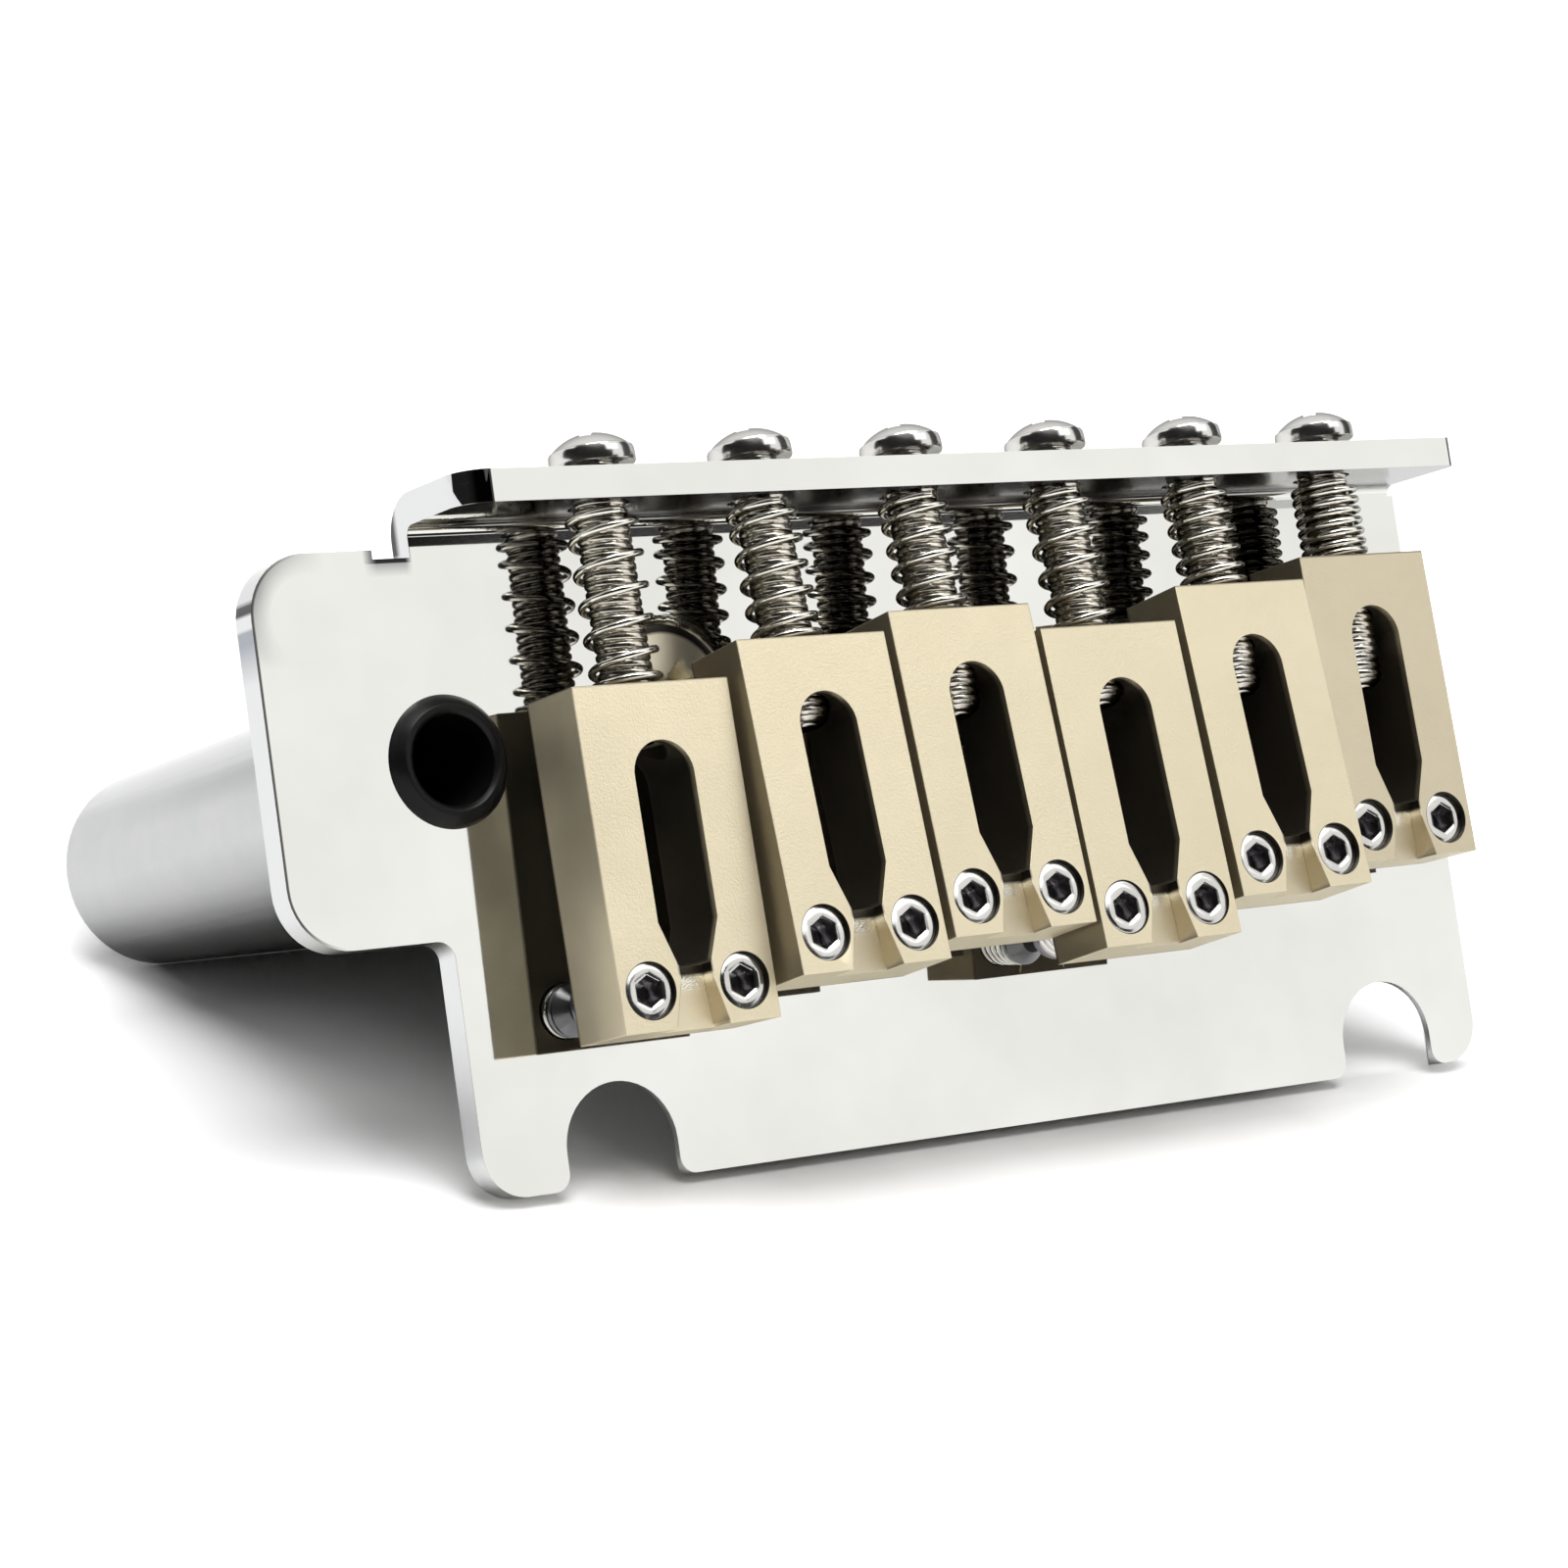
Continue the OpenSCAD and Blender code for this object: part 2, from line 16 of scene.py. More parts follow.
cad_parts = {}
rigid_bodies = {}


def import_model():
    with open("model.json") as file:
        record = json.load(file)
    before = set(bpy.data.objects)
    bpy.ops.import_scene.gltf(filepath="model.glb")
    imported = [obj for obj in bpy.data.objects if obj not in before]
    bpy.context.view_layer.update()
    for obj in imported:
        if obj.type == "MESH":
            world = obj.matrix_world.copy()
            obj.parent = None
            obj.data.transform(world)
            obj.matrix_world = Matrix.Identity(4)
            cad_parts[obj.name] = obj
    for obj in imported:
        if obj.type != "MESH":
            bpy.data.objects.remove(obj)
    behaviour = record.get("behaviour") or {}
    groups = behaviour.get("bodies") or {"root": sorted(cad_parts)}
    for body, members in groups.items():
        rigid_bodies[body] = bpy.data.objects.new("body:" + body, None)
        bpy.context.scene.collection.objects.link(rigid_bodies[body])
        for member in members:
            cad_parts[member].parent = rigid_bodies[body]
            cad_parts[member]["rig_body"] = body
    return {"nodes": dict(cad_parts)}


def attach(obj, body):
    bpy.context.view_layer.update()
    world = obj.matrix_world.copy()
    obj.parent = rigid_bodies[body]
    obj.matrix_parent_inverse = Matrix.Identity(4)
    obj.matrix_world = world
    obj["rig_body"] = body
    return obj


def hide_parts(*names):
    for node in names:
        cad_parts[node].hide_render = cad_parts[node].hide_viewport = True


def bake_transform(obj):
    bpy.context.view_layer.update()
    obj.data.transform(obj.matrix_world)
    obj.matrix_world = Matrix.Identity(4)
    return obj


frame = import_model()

MM = 0.001
STRINGS = range(1, 7)
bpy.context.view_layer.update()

# %% [markdown]
# ## The camera
#
# The bridge was photographed with its front edge on the table, from above the arm's side.
# The camera stands where straight edges of the plate and the saddles line up with the
# photograph. Its three turns are multiplied together, and the matrix is given to the camera
# whole, so that no order of angles has to be guessed.

# %% Camera
CAMERA_PLACE = Vector((-149.378, -0.297, 196.623)) * MM
CAMERA_TURNS = {"X": -0.0989, "Y": -0.6011, "Z": -0.0844}
CAMERA_LENS = 97.11

turned = Matrix.Identity(3)
for axis in "ZYX":
    turned = turned @ Matrix.Rotation(CAMERA_TURNS[axis], 3, axis)
flip = Matrix.Diagonal((1, -1, -1))
looks = (flip @ turned @ flip).transposed()

camera_data = bpy.data.cameras.new("camera")
camera_data.lens = CAMERA_LENS
camera_data.sensor_width = 36
camera_data.shift_x = -0.0020
camera_data.shift_y = -0.0030
camera_data.clip_start = 0.01
camera_data.clip_end = 20
camera = bpy.data.objects.new("camera", camera_data)
camera.matrix_world = Matrix.Translation(CAMERA_PLACE) @ looks.to_4x4()
bpy.context.scene.collection.objects.link(camera)
bpy.context.scene.camera = camera
print("the camera looks along", [round(v, 3) for v in looks @ Vector((0, 0, -1))])

# %% [markdown]
# ## From numbers to a mesh
#
# Threads and springs are surfaces over two parameters, so one helper turns a grid of points
# into a mesh. A grid can close on itself across its columns, as a tube does, and its first
# and last rows can be drawn together in a fan, so that no hole is left at a pole.

# %% Grids to meshes
def mesh_from(name, points, faces):
    """A mesh object from an array of points in millimetres and a list of faces."""
    data = bpy.data.meshes.new(name)
    data.from_pydata((np.asarray(points) * MM).tolist(), [], faces)
    data.validate()
    piece = bpy.data.objects.new(name, data)
    bpy.context.scene.collection.objects.link(piece)
    return piece


def tube_faces(rows, columns):
    """Quads between neighbouring rows of a grid whose columns close on themselves, and a
    fan of triangles on the point that stands alone before the first row and after the last."""
    row, column = np.meshgrid(np.arange(rows - 1), np.arange(columns), indexing="ij")
    after = (column + 1) % columns
    first = 1
    quads = np.stack([row * columns + column, row * columns + after,
                      (row + 1) * columns + after, (row + 1) * columns + column], -1) + first
    around = np.arange(columns)
    start = np.stack([np.zeros_like(around), (around + 1) % columns + first, around + first], -1)
    last = (rows - 1) * columns + first
    end_pole = rows * columns + first
    end = np.stack([np.full_like(around, end_pole), last + around,
                    last + (around + 1) % columns], -1)
    return quads.reshape(-1, 4).tolist() + start.tolist() + end.tolist()


def tube_piece(name, grid):
    """A closed tube from a grid of points, rows by columns by three, with its ends drawn
    to the middle of the first and the last row."""
    rows, columns = grid.shape[:2]
    points = np.concatenate([[grid[0].mean(0)], grid.reshape(-1, 3), [grid[-1].mean(0)]])
    return mesh_from(name, points, tube_faces(rows, columns))


# %% [markdown]
# ## Where each screw line runs
#
# Every string has its own line: it starts at the middle of the rear lip and rises a little
# towards the saddle. The sizes are the CAD model's own, so what is made along a line meets
# the CAD parts without any fitting.

# %% Screw lines
STRING_PITCH = 10.5
MIDDLE_STRING = 3.5
LIP_MIDDLE_Y = 35.5
SCREW_LINE_Z = 3.7
SADDLE_LENGTH = 18.8
REACH = {1: 29.9, 2: 28.2, 3: 27.1, 4: 28.6, 5: 26.6, 6: 25.0}
RISE = {1: 2.0, 2: 6.0, 3: 6.1, 4: 5.6, 5: 6.2, 6: 2.3}


def on_line(k, points):
    """Points given as (across, along, above) a screw line, in millimetres, where along grows
    to the front, are turned by the line's rise and moved to the lip."""
    across, along, above = np.moveaxis(np.asarray(points, float), -1, 0)
    rise = np.radians(RISE[k])
    return np.stack([
        across + (k - MIDDLE_STRING) * STRING_PITCH,
        LIP_MIDDLE_Y - along * np.cos(rise) + above * np.sin(rise),
        SCREW_LINE_Z + along * np.sin(rise) + above * np.cos(rise),
    ], -1)


def above_line(k, points):
    """How far points of the row frame, in millimetres, stand above a screw line."""
    _, y, z = np.moveaxis(np.asarray(points, float), -1, 0)
    rise = np.radians(RISE[k])
    return (y - LIP_MIDDLE_Y) * np.sin(rise) + (z - SCREW_LINE_Z) * np.cos(rise)


def rear_face(k):
    """Where a saddle's rear face is, in millimetres along its line."""
    return REACH[k] - SADDLE_LENGTH


print("springs run from the lip to", {k: round(rear_face(k), 1) for k in STRINGS}, "mm")

# %% [markdown]
# ## Rounded edges
#
# Machined and plated metal never has a perfectly sharp edge: the buffing wheel leaves a
# tiny radius, and that radius is what draws the bright line along it. A CAD mesh is loose
# triangles, so a copy is first merged into one skin, its flat faces are joined up again,
# and a Bevel modifier rounds what is left. A Weighted Normal modifier lets the big faces
# decide how the light turns, and its weight says how much. The copy then stands for the
# CAD part.

# %% Copies with rounded edges
def merged_copy(node):
    """A copy of a CAD part's mesh with its doubled points merged and its flats joined."""
    data = frame["nodes"][node].data.copy()
    data.name = node + "_skin"
    data.materials.clear()
    skin = bmesh.new()
    skin.from_mesh(data)
    bmesh.ops.remove_doubles(skin, verts=skin.verts, dist=1e-6)
    bmesh.ops.dissolve_limit(skin, angle_limit=np.radians(0.4), verts=skin.verts,
                             edges=skin.edges, delimit={"NORMAL"})
    skin.to_mesh(data)
    skin.free()
    for name in ("custom_normal", "sharp_edge", "sharp_face"):
        if name in data.attributes:
            data.attributes.remove(data.attributes[name])
    data.polygons.foreach_set("use_smooth", [True] * len(data.polygons))
    piece = bpy.data.objects.new(node + "_finished", data)
    bpy.context.scene.collection.objects.link(piece)
    return piece


def sharp_edges(data, angle):
    """Which edges of a mesh lie between two faces that turn by more than the angle: each
    corner of a face names its edge, so the faces' normals are gathered edge by edge."""
    edge_of_corner = np.empty(len(data.loops), int)
    data.loops.foreach_get("edge_index", edge_of_corner)
    corners = np.empty(len(data.polygons), int)
    data.polygons.foreach_get("loop_total", corners)
    normals = np.empty(len(data.polygons) * 3)
    data.polygons.foreach_get("normal", normals)
    normals = np.repeat(normals.reshape(-1, 3), corners, axis=0)
    order = np.argsort(edge_of_corner, kind="stable")
    edge, first, faces = np.unique(edge_of_corner[order], return_index=True, return_counts=True)
    turn = np.full(len(data.edges), 1.0)
    two = faces == 2
    pair = normals[order][first[two]], normals[order][first[two] + 1]
    turn[edge[two]] = (pair[0] * pair[1]).sum(1)
    return turn < np.cos(np.radians(angle))


def round_edges(piece, width, angle=35, segments=2, softer=None, soft_width=0.0, say=100):
    """Rounds edges sharper than the angle, and to a bigger radius those between two vertices
    that are both marked as softer. The larger a face, the more say it has over the normals,
    so that a mirror stays flat right up to its rounded edge."""
    bevel = piece.modifiers.new("rounding", "BEVEL")
    bevel.width = max(width, soft_width) * MM
    bevel.segments = segments
    bevel.miter_outer = "MITER_ARC"
    if softer is None:
        bevel.limit_method = "ANGLE"
        bevel.angle_limit = np.radians(angle)
    else:
        data = piece.data
        ends = np.empty(len(data.edges) * 2, int)
        data.edges.foreach_get("vertices", ends)
        soft = softer[ends.reshape(-1, 2)].all(1)
        sharp = sharp_edges(data, angle)
        weight = np.where(soft, 1.0, width / soft_width) * sharp
        mark = data.attributes.new("bevel_weight_edge", "FLOAT", "EDGE")
        mark.data.foreach_set("value", weight)
        bevel.limit_method = "WEIGHT"
    flats = piece.modifiers.new("flats", "WEIGHTED_NORMAL")
    flats.weight = say
    flats.thresh = 1e-8
    return piece


def stands_for(piece, node):
    """The piece rides where the CAD part rides, and hides it."""
    body = frame["nodes"][node]["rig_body"]
    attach(piece, body)
    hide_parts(node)
    return piece


# %% [markdown]
# ## Metal that has been handled
#
# One function lays down what every metal here shares: a base colour that drifts a little, a
# roughness with faint cloudy patches where fingers and polish have been, and a very low
# bump. Each finish then gives its own colour, gloss and grain. Noise is read in Object
# coordinates, in metres, so a scale of 1000 is one wave a millimetre.

# %% A finish
CLOUD_RANGE = (0.3, 0.7)


def add_node(tree, kind, **inputs):
    """A node with some of its sockets set by name."""
    node = tree.nodes.new(kind)
    for name, value in inputs.items():
        node.inputs[name.replace("_", " ")].default_value = value
    return node


def maths(tree, operation, *values):
    """What a Math node makes of its values, which are sockets or plain numbers."""
    node = tree.nodes.new("ShaderNodeMath")
    node.operation = operation
    for socket, value in zip(node.inputs, values):
        if isinstance(value, bpy.types.NodeSocket):
            tree.links.new(value, socket)
        else:
            socket.default_value = value
    return node.outputs["Value"]


def coordinates(tree):
    """The outputs of a tree's one Texture Coordinate node, made when first asked for."""
    found = [node for node in tree.nodes if node.type == "TEX_COORD"]
    return (found[0] if found else tree.nodes.new("ShaderNodeTexCoord")).outputs


def metal_finish(name, dark, light, smooth, rough, cloud_scale, grain_scale, grain,
                 smears=0.0, edge=(1, 1, 1)):
    """A metal whose colour goes between dark and light, and whose roughness goes between
    smooth and rough, with cloudy noise; a finer noise gives its grain as a bump. Smears add
    long streaks to the roughness, and edge tints what is mirrored at a grazing angle."""
    material = bpy.data.materials.new(name)
    material.use_nodes = True
    tree = material.node_tree
    link = tree.links.new
    shader = tree.nodes["Principled BSDF"]
    shader.inputs["Metallic"].default_value = 1
    shader.inputs["Specular Tint"].default_value = (*edge, 1)
    place = coordinates(tree)["Object"]
    clouds = add_node(tree, "ShaderNodeTexNoise", Scale=cloud_scale, Detail=4.0, Roughness=0.6)
    link(place, clouds.inputs["Vector"])
    colour = tree.nodes.new("ShaderNodeValToRGB")
    for i, shade in enumerate((dark, light)):
        colour.color_ramp.elements[i].position = CLOUD_RANGE[i]
        colour.color_ramp.elements[i].color = (*shade, 1)
    link(clouds.outputs["Fac"], colour.inputs["Fac"])
    link(colour.outputs["Color"], shader.inputs["Base Color"])
    gloss = add_node(tree, "ShaderNodeMapRange", From_Min=CLOUD_RANGE[0],
                     From_Max=CLOUD_RANGE[1], To_Min=smooth, To_Max=rough)
    link(clouds.outputs["Fac"], gloss.inputs["Value"])
    link(gloss.outputs["Result"], shader.inputs["Roughness"])
    if smears:
        wipe = add_node(tree, "ShaderNodeMapping", Scale=(1, 0.12, 1))
        link(place, wipe.inputs["Vector"])
        streaks = add_node(tree, "ShaderNodeTexNoise", Scale=cloud_scale * 6, Detail=3.0)
        link(wipe.outputs["Vector"], streaks.inputs["Vector"])
        faint = add_node(tree, "ShaderNodeMapRange", From_Min=0.5, From_Max=0.75,
                         To_Min=0.0, To_Max=smears)
        link(streaks.outputs["Fac"], faint.inputs["Value"])
        link(maths(tree, "ADD", gloss.outputs["Result"], faint.outputs["Result"]),
             shader.inputs["Roughness"])
    fine = add_node(tree, "ShaderNodeTexNoise", Scale=grain_scale, Detail=3.0, Roughness=0.7)
    link(place, fine.inputs["Vector"])
    bump = add_node(tree, "ShaderNodeBump", Strength=grain, Distance=0.0001)
    link(fine.outputs["Fac"], bump.inputs["Height"])
    link(bump.outputs["Normal"], shader.inputs["Normal"])
    return material


# %% [markdown]
# ## Painting a place
#
# A finish often changes at a place, and so do light and shade, which are often painted in:
# shade in a hole, a highlight on a crown, a shadow at a foot. Such a place is a mask, a number
# from 0 to 1 made of ramps and multiplied together, and the mask blends the finish's colour or
# roughness into another one. A ramp can run along a coordinate, or along how far the surface
# faces some way, which picks out sides, tops and undersides.
#
# Chrome needs this more than other finishes do. Much of what a photograph shows on it is
# one studio, seen from one place, and a mask can set such a tone where it was seen.

# %% Masks
def ramp(tree, source, start, stop, rises=True):
    """A value that goes from 0 to 1 while the source goes from start to stop, or back."""
    node = add_node(tree, "ShaderNodeMapRange", From_Min=start, From_Max=stop,
                    To_Min=float(not rises), To_Max=float(rises))
    tree.links.new(source, node.inputs["Value"])
    return node.outputs["Result"]


def axes_of(tree, vector):
    """The X, Y and Z of a vector, each as a socket of its own."""
    apart = tree.nodes.new("ShaderNodeSeparateXYZ")
    tree.links.new(vector, apart.inputs["Vector"])
    return [apart.outputs[axis] for axis in "XYZ"]


def away_from(tree, x, y, centre):
    """How far a place is from an upright line through the centre, from its X and Y."""
    flat = tree.nodes.new("ShaderNodeCombineXYZ")
    tree.links.new(x, flat.inputs["X"])
    tree.links.new(y, flat.inputs["Y"])
    away = add_node(tree, "ShaderNodeVectorMath")
    away.operation = "DISTANCE"
    away.inputs[1].default_value = (*centre, 0)
    tree.links.new(flat.outputs["Vector"], away.inputs[0])
    return away.outputs["Value"]


def measures(tree):
    """What a mask can be limited by, each with its unit: x, y and z in millimetres, and
    facing_x, facing_y and facing_z, which go from -1 to 1."""
    place = zip("xyz", axes_of(tree, coordinates(tree)["Object"]))
    facing = zip("xyz", axes_of(tree, coordinates(tree)["Normal"]))
    return ({axis: (socket, MM) for axis, socket in place}
            | {"facing_" + axis: (socket, 1) for axis, socket in facing})


def region(tree, known, **limits):
    """A mask from limits on known measures, multiplied together. Of a limit's two values,
    the mask is 0 at the first and 1 from the second on; two more say where it starts to
    fall again and where it is back at 0."""
    total = None
    for name, values in limits.items():
        socket, unit = known[name]
        start, full, *fall = (value * unit for value in values)
        parts = [ramp(tree, socket, min(start, full), max(start, full), start < full)]
        if fall:
            parts.append(ramp(tree, socket, *fall, rises=False))
        for part in parts:
            total = part if total is None else maths(tree, "MULTIPLY", total, part)
    return total


def paint(tree, known, colour, rough=None, **limits):
    """Within the limits, the Principled shader gets this colour, and this roughness if one
    is given. Later paint covers earlier paint."""
    mask = region(tree, known, **limits)
    shader = tree.nodes["Principled BSDF"]
    for name, kind, value in (("Base Color", "RGBA", (*colour, 1)), ("Roughness", "FLOAT", rough)):
        if value is None:
            continue
        blend = tree.nodes.new("ShaderNodeMix")
        blend.data_type = kind
        sockets = [i for i in blend.inputs if i.enabled]
        tree.links.new(mask, sockets[0])
        tree.links.new(shader.inputs[name].links[0].from_socket, sockets[1])
        sockets[2].default_value = value
        tree.links.new(next(o for o in blend.outputs if o.enabled), shader.inputs[name])


# %% [markdown]
# ## The baseplate
#
# The plate is bent steel with bright chrome, which is a mirror with hardly any colour of
# its own: almost all that is seen on it is the room and the underside of the saddles. Its
# rims are rounded by a fifth of a millimetre. Faint smears, as a cloth leaves them, and a
# nearly flat bump keep the mirror from looking drawn.
#
# The paint goes on in this order: the narrow sides, which look a little duller, and painted
# shade on their foot below the lip; a painted shadow in front of the relief cut, with a black
# edge of painted shade; a painted black reflection on the lip's corner; a painted grey
# reflection on the ear's rear corner, which was buffed rounder than the rest, and two painted
# reflections on the side next to it; a fine dark line round the ear, a painted reflection on
# its rounded rim; and painted shade on the inner face of the bend.

# %% Baseplate
EAR_LEFT = -46.3
EAR_RADIUS = 3.5
EAR_CORNERS = {"from_front": (-42.8, 15.6), "from_rear": (-42.8, 29.9)}
LINE_INNER, LINE_FULL = 0.18, 0.12

plate_chrome = metal_finish(
    "plate_chrome", dark=(0.77, 0.767, 0.725), light=(0.91, 0.907, 0.87),
    smooth=0.02, rough=0.045, cloud_scale=45, grain_scale=260, grain=0.012, smears=0.04)
tree = plate_chrome.node_tree
known = measures(tree)
for name, centre in EAR_CORNERS.items():
    away = away_from(tree, known["x"][0], known["y"][0], [value * MM for value in centre])
    known[name] = away, MM
side = {"facing_x": (-0.55, -0.8)}
outer_side = {**side, "x": (-45.8, -46.1)}
top = {"facing_z": (0.15, 0.3), "z": (0.1, 0.02)}
near_cut = {"facing_z": (0.3, 0.5), "x": (-39.2, -38.4, -36.6, -36.2)}
# painted shade and painted reflections, in the order listed above
paint(tree, known, (0.74, 0.745, 0.745), **side)
paint(tree, known, (0.08, 0.08, 0.08), **side, y=(33, 33.3), z=(-0.9, -1.4))
paint(tree, known, (0.42, 0.42, 0.42), **near_cut, y=(31.9, 32.6))
paint(tree, known, (0.03, 0.03, 0.03), **near_cut, y=(32.62, 32.68))
paint(tree, known, (0.045, 0.045, 0.045), x=(-35.75, -35.35, -34.48, -34.42), z=(5.0, 5.2),
      facing_z=(0.3, 0.5))
paint(tree, known, (0.30, 0.30, 0.29), **top, from_rear=(2.3, EAR_RADIUS),
      x=(-41.5, -45.6), y=(27.2, 31.2))
paint(tree, known, (0.36, 0.38, 0.42), **outer_side, y=(26.6, 28.8, 29.4, 29.6))
paint(tree, known, (0.06, 0.06, 0.065), **outer_side, y=(30.2, 30.4, 30.8, 31.1))
ring = (EAR_RADIUS - LINE_INNER, EAR_RADIUS - LINE_FULL)
for stretch in ({"x": (EAR_LEFT + LINE_INNER, EAR_LEFT + LINE_FULL)},
                {"x": (-43.2, -45.6), "y": (15.6, 15.5), "from_front": ring},
                {"x": (-43.2, -45.6), "y": (29.9, 30.0), "from_rear": ring}):
    paint(tree, known, (0.11, 0.11, 0.105), **top, **stretch)
paint(tree, known, (0.30, 0.30, 0.31), 0.17, facing_y=(-0.15, -0.6), z=(0.05, 0.35),
      x=(-36, -27))
plate = round_edges(merged_copy("baseplate"), width=0.18, segments=3)
plate.data.materials.append(plate_chrome)
stands_for(plate, "baseplate")
print("baseplate:", len(plate.data.polygons), "faces before its rounding")

# %% [markdown]
# ## The block
#
# The block hangs under the plate and gives the bridge its mass. It is blasted before it is
# plated, so it reflects a soft blur instead of an image: a high roughness with a fine,
# even grain does that. Its foot carries the bores for the strings' ball ends.
#
# Three painted tones go round its rounded end, from the rear to the front: a painted
# highlight where it faces the rear, a darker band of painted reflection beside that, and
# painted shade where it turns away from the light.

# %% Block
block_metal = metal_finish(
    "block_metal", dark=(0.545, 0.555, 0.555), light=(0.60, 0.605, 0.60),
    smooth=0.29, rough=0.35, cloud_scale=260, grain_scale=5200, grain=0.22)
tree = block_metal.node_tree
known = measures(tree)
# a painted highlight, a painted band of reflection, and painted shade on the front, low part
paint(tree, known, (0.86, 0.86, 0.86), facing_y=(0.55, 0.95))
paint(tree, known, (0.38, 0.39, 0.39), facing_y=(0.2, 0.42, 0.46, 0.62), z=(-34, -6))
paint(tree, known, (0.28, 0.285, 0.28), y=(20, 15))
block = round_edges(merged_copy("tremolo_block"), width=0.3, segments=3, say=50)
block.data.materials.append(block_metal)
stands_for(block, "tremolo_block")

# %% [markdown]
# ## The saddles
#
# A saddle is a milled brass bar with a satin, champagne-coloured nickel on it. The finish
# is soft, with a fine sand-like grain, but where the string has to slide, over the crown at
# the slot's front end, it is polished, and a painted highlight makes it brighter there. Wear
# is drawn in the same material: close to the crown, measured along each saddle's own line,
# the roughness falls.
#
# In the photograph the light falls off towards the far string. The lamps here light all
# six alike, so each saddle's colour is multiplied by a tone of its own.

# %% Places on a saddle
SLOT_HALF = 1.9
SLOT_REAR = 15.6
CROWN_BACK = 3.4
CROWN_FRONT = 2.6
VALLEY_BACK_HALF = 1.0
VALLEY_FRONT_HALF = 1.7
SADDLE_TOP = 2.3
SADDLE_BELOW = 2.5
SET_SIDE = 3.0
SET_BACK = 2.2
SET_RADIUS = 1.5
LIGHT_FALLOFF = {1: 1.03, 2: 0.90, 3: 0.89, 4: 0.90, 5: 0.89, 6: 0.81}


def saddle_measures(tree, k):
    """Measures of a saddle's own, in millimetres: across from its middle line to either
    side, along from its front face, above its screw, from_screw from a height screw's axis,
    and spread, which is the same all along the valley's leaning walls."""
    own = add_node(tree, "ShaderNodeMapping", Location=on_line(k, (0, REACH[k], 0)) * MM,
                   Rotation=(-np.radians(RISE[k]), 0, 0), Scale=(MM, MM, MM))
    own.vector_type = "TEXTURE"
    tree.links.new(coordinates(tree)["Object"], own.inputs["Vector"])
    x, along, above = axes_of(tree, own.outputs["Vector"])
    across = maths(tree, "ABSOLUTE", x)
    slant = (VALLEY_FRONT_HALF - VALLEY_BACK_HALF) / CROWN_FRONT
    found = {"across": across, "along": along, "above": above,
             "from_screw": away_from(tree, across, along, (SET_SIDE, SET_BACK)),
             "spread": maths(tree, "MULTIPLY_ADD", along, slant, across)}
    return measures(tree) | {name: (socket, 1) for name, socket in found.items()}


# %% [markdown]
# The paint on a saddle: painted shade on its rear face and, except on the nearest one, on
# the left wall; painted shade in the slot, on the underside and on the rims of the screws'
# holes, where light hardly reaches; then a painted highlight on the polished crown, and
# painted shade in the throat behind it and in the creases of the valley.

# %% Saddle metal
def saddle_finish(k):
    """Satin champagne metal with the light's painted fall-off for its string, and paint by the
    saddle's own measures.
    """
    material = metal_finish(
        f"saddle_metal_{k}", dark=[LIGHT_FALLOFF[k] * c for c in (0.87, 0.772, 0.552)],
        light=[LIGHT_FALLOFF[k] * c for c in (0.94, 0.838, 0.612)],
        smooth=0.38, rough=0.46, cloud_scale=150, grain_scale=6500, grain=0.22)
    tree = material.node_tree
    tree.nodes["Principled BSDF"].inputs["Metallic"].default_value = 0.85
    known = saddle_measures(tree, k)
    # painted shade on the rear face, the left wall, the slot, the underside, the holes' rims, the
    # throat and the valley's creases; a painted highlight on the crown
    paint(tree, known, (0.22, 0.19, 0.14), along=(SADDLE_LENGTH - 0.12, SADDLE_LENGTH - 0.02))
    if k > 1:
        paint(tree, known, (0.40, 0.35, 0.25), facing_x=(-0.6, -0.8))
    paint(tree, known, (0.085, 0.072, 0.052), 0.5,
          across=(SLOT_HALF + 0.15, SLOT_HALF + 0.05), above=(SADDLE_TOP - 0.2, SADDLE_TOP - 0.5),
          along=(CROWN_BACK + 0.02, CROWN_BACK + 0.12, SLOT_REAR + 0.02, SLOT_REAR + 0.12))
    paint(tree, known, (0.10, 0.085, 0.06), above=(0.25 - SADDLE_BELOW, 0.02 - SADDLE_BELOW))
    paint(tree, known, (0.03, 0.026, 0.02), from_screw=(SET_RADIUS + 0.10, SET_RADIUS + 0.07))
    paint(tree, known, (0.98, 0.92, 0.76), 0.16, across=(1.15, 0.9),
          along=(1.9, 2.3, CROWN_BACK + 0.1, CROWN_BACK + 0.3))
    paint(tree, known, (0.06, 0.05, 0.035), 0.3, across=(1.15, 1.0),
          along=(2.75, 2.95, CROWN_BACK + 0.3, CROWN_BACK + 0.4))
    paint(tree, known, (0.56, 0.48, 0.33), along=(0.1, 0.2, 2.3, 2.6),
          spread=(VALLEY_FRONT_HALF - 0.07, VALLEY_FRONT_HALF - 0.02,
                  VALLEY_FRONT_HALF + 0.02, VALLEY_FRONT_HALF + 0.07))
    return material


for k in STRINGS:
    node = f"saddle_{k}"
    saddle = merged_copy(node)
    points = np.array([v.co for v in saddle.data.vertices]) / MM
    aside = np.abs(points[:, 0] - (k - MIDDLE_STRING) * STRING_PITCH)
    round_edges(saddle, width=0.12, segments=3,
                softer=aside > aside.max() - 0.01, soft_width=0.38)
    saddle.data.materials.append(saddle_finish(k))
    stands_for(saddle, node)
print("six saddles, each with", len(saddle.data.polygons), "faces before its rounding")

# %% [markdown]
# ## The intonation screws
#
# A screw is one surface: its profile is carried round the axis, and the radius is made to
# rise and fall as the thread climbs half a millimetre a turn. The head is a low dome with a
# cross recess, which is sunk into the same surface by a function of the place on the dome,
# so there is no seam between shaft, head and recess.
#
# Their paint follows the light between the springs: the shafts are dark there with a lit
# upper side, the tips inside the slots are darker still but for the side towards the arm,
# and the heads stay bright.

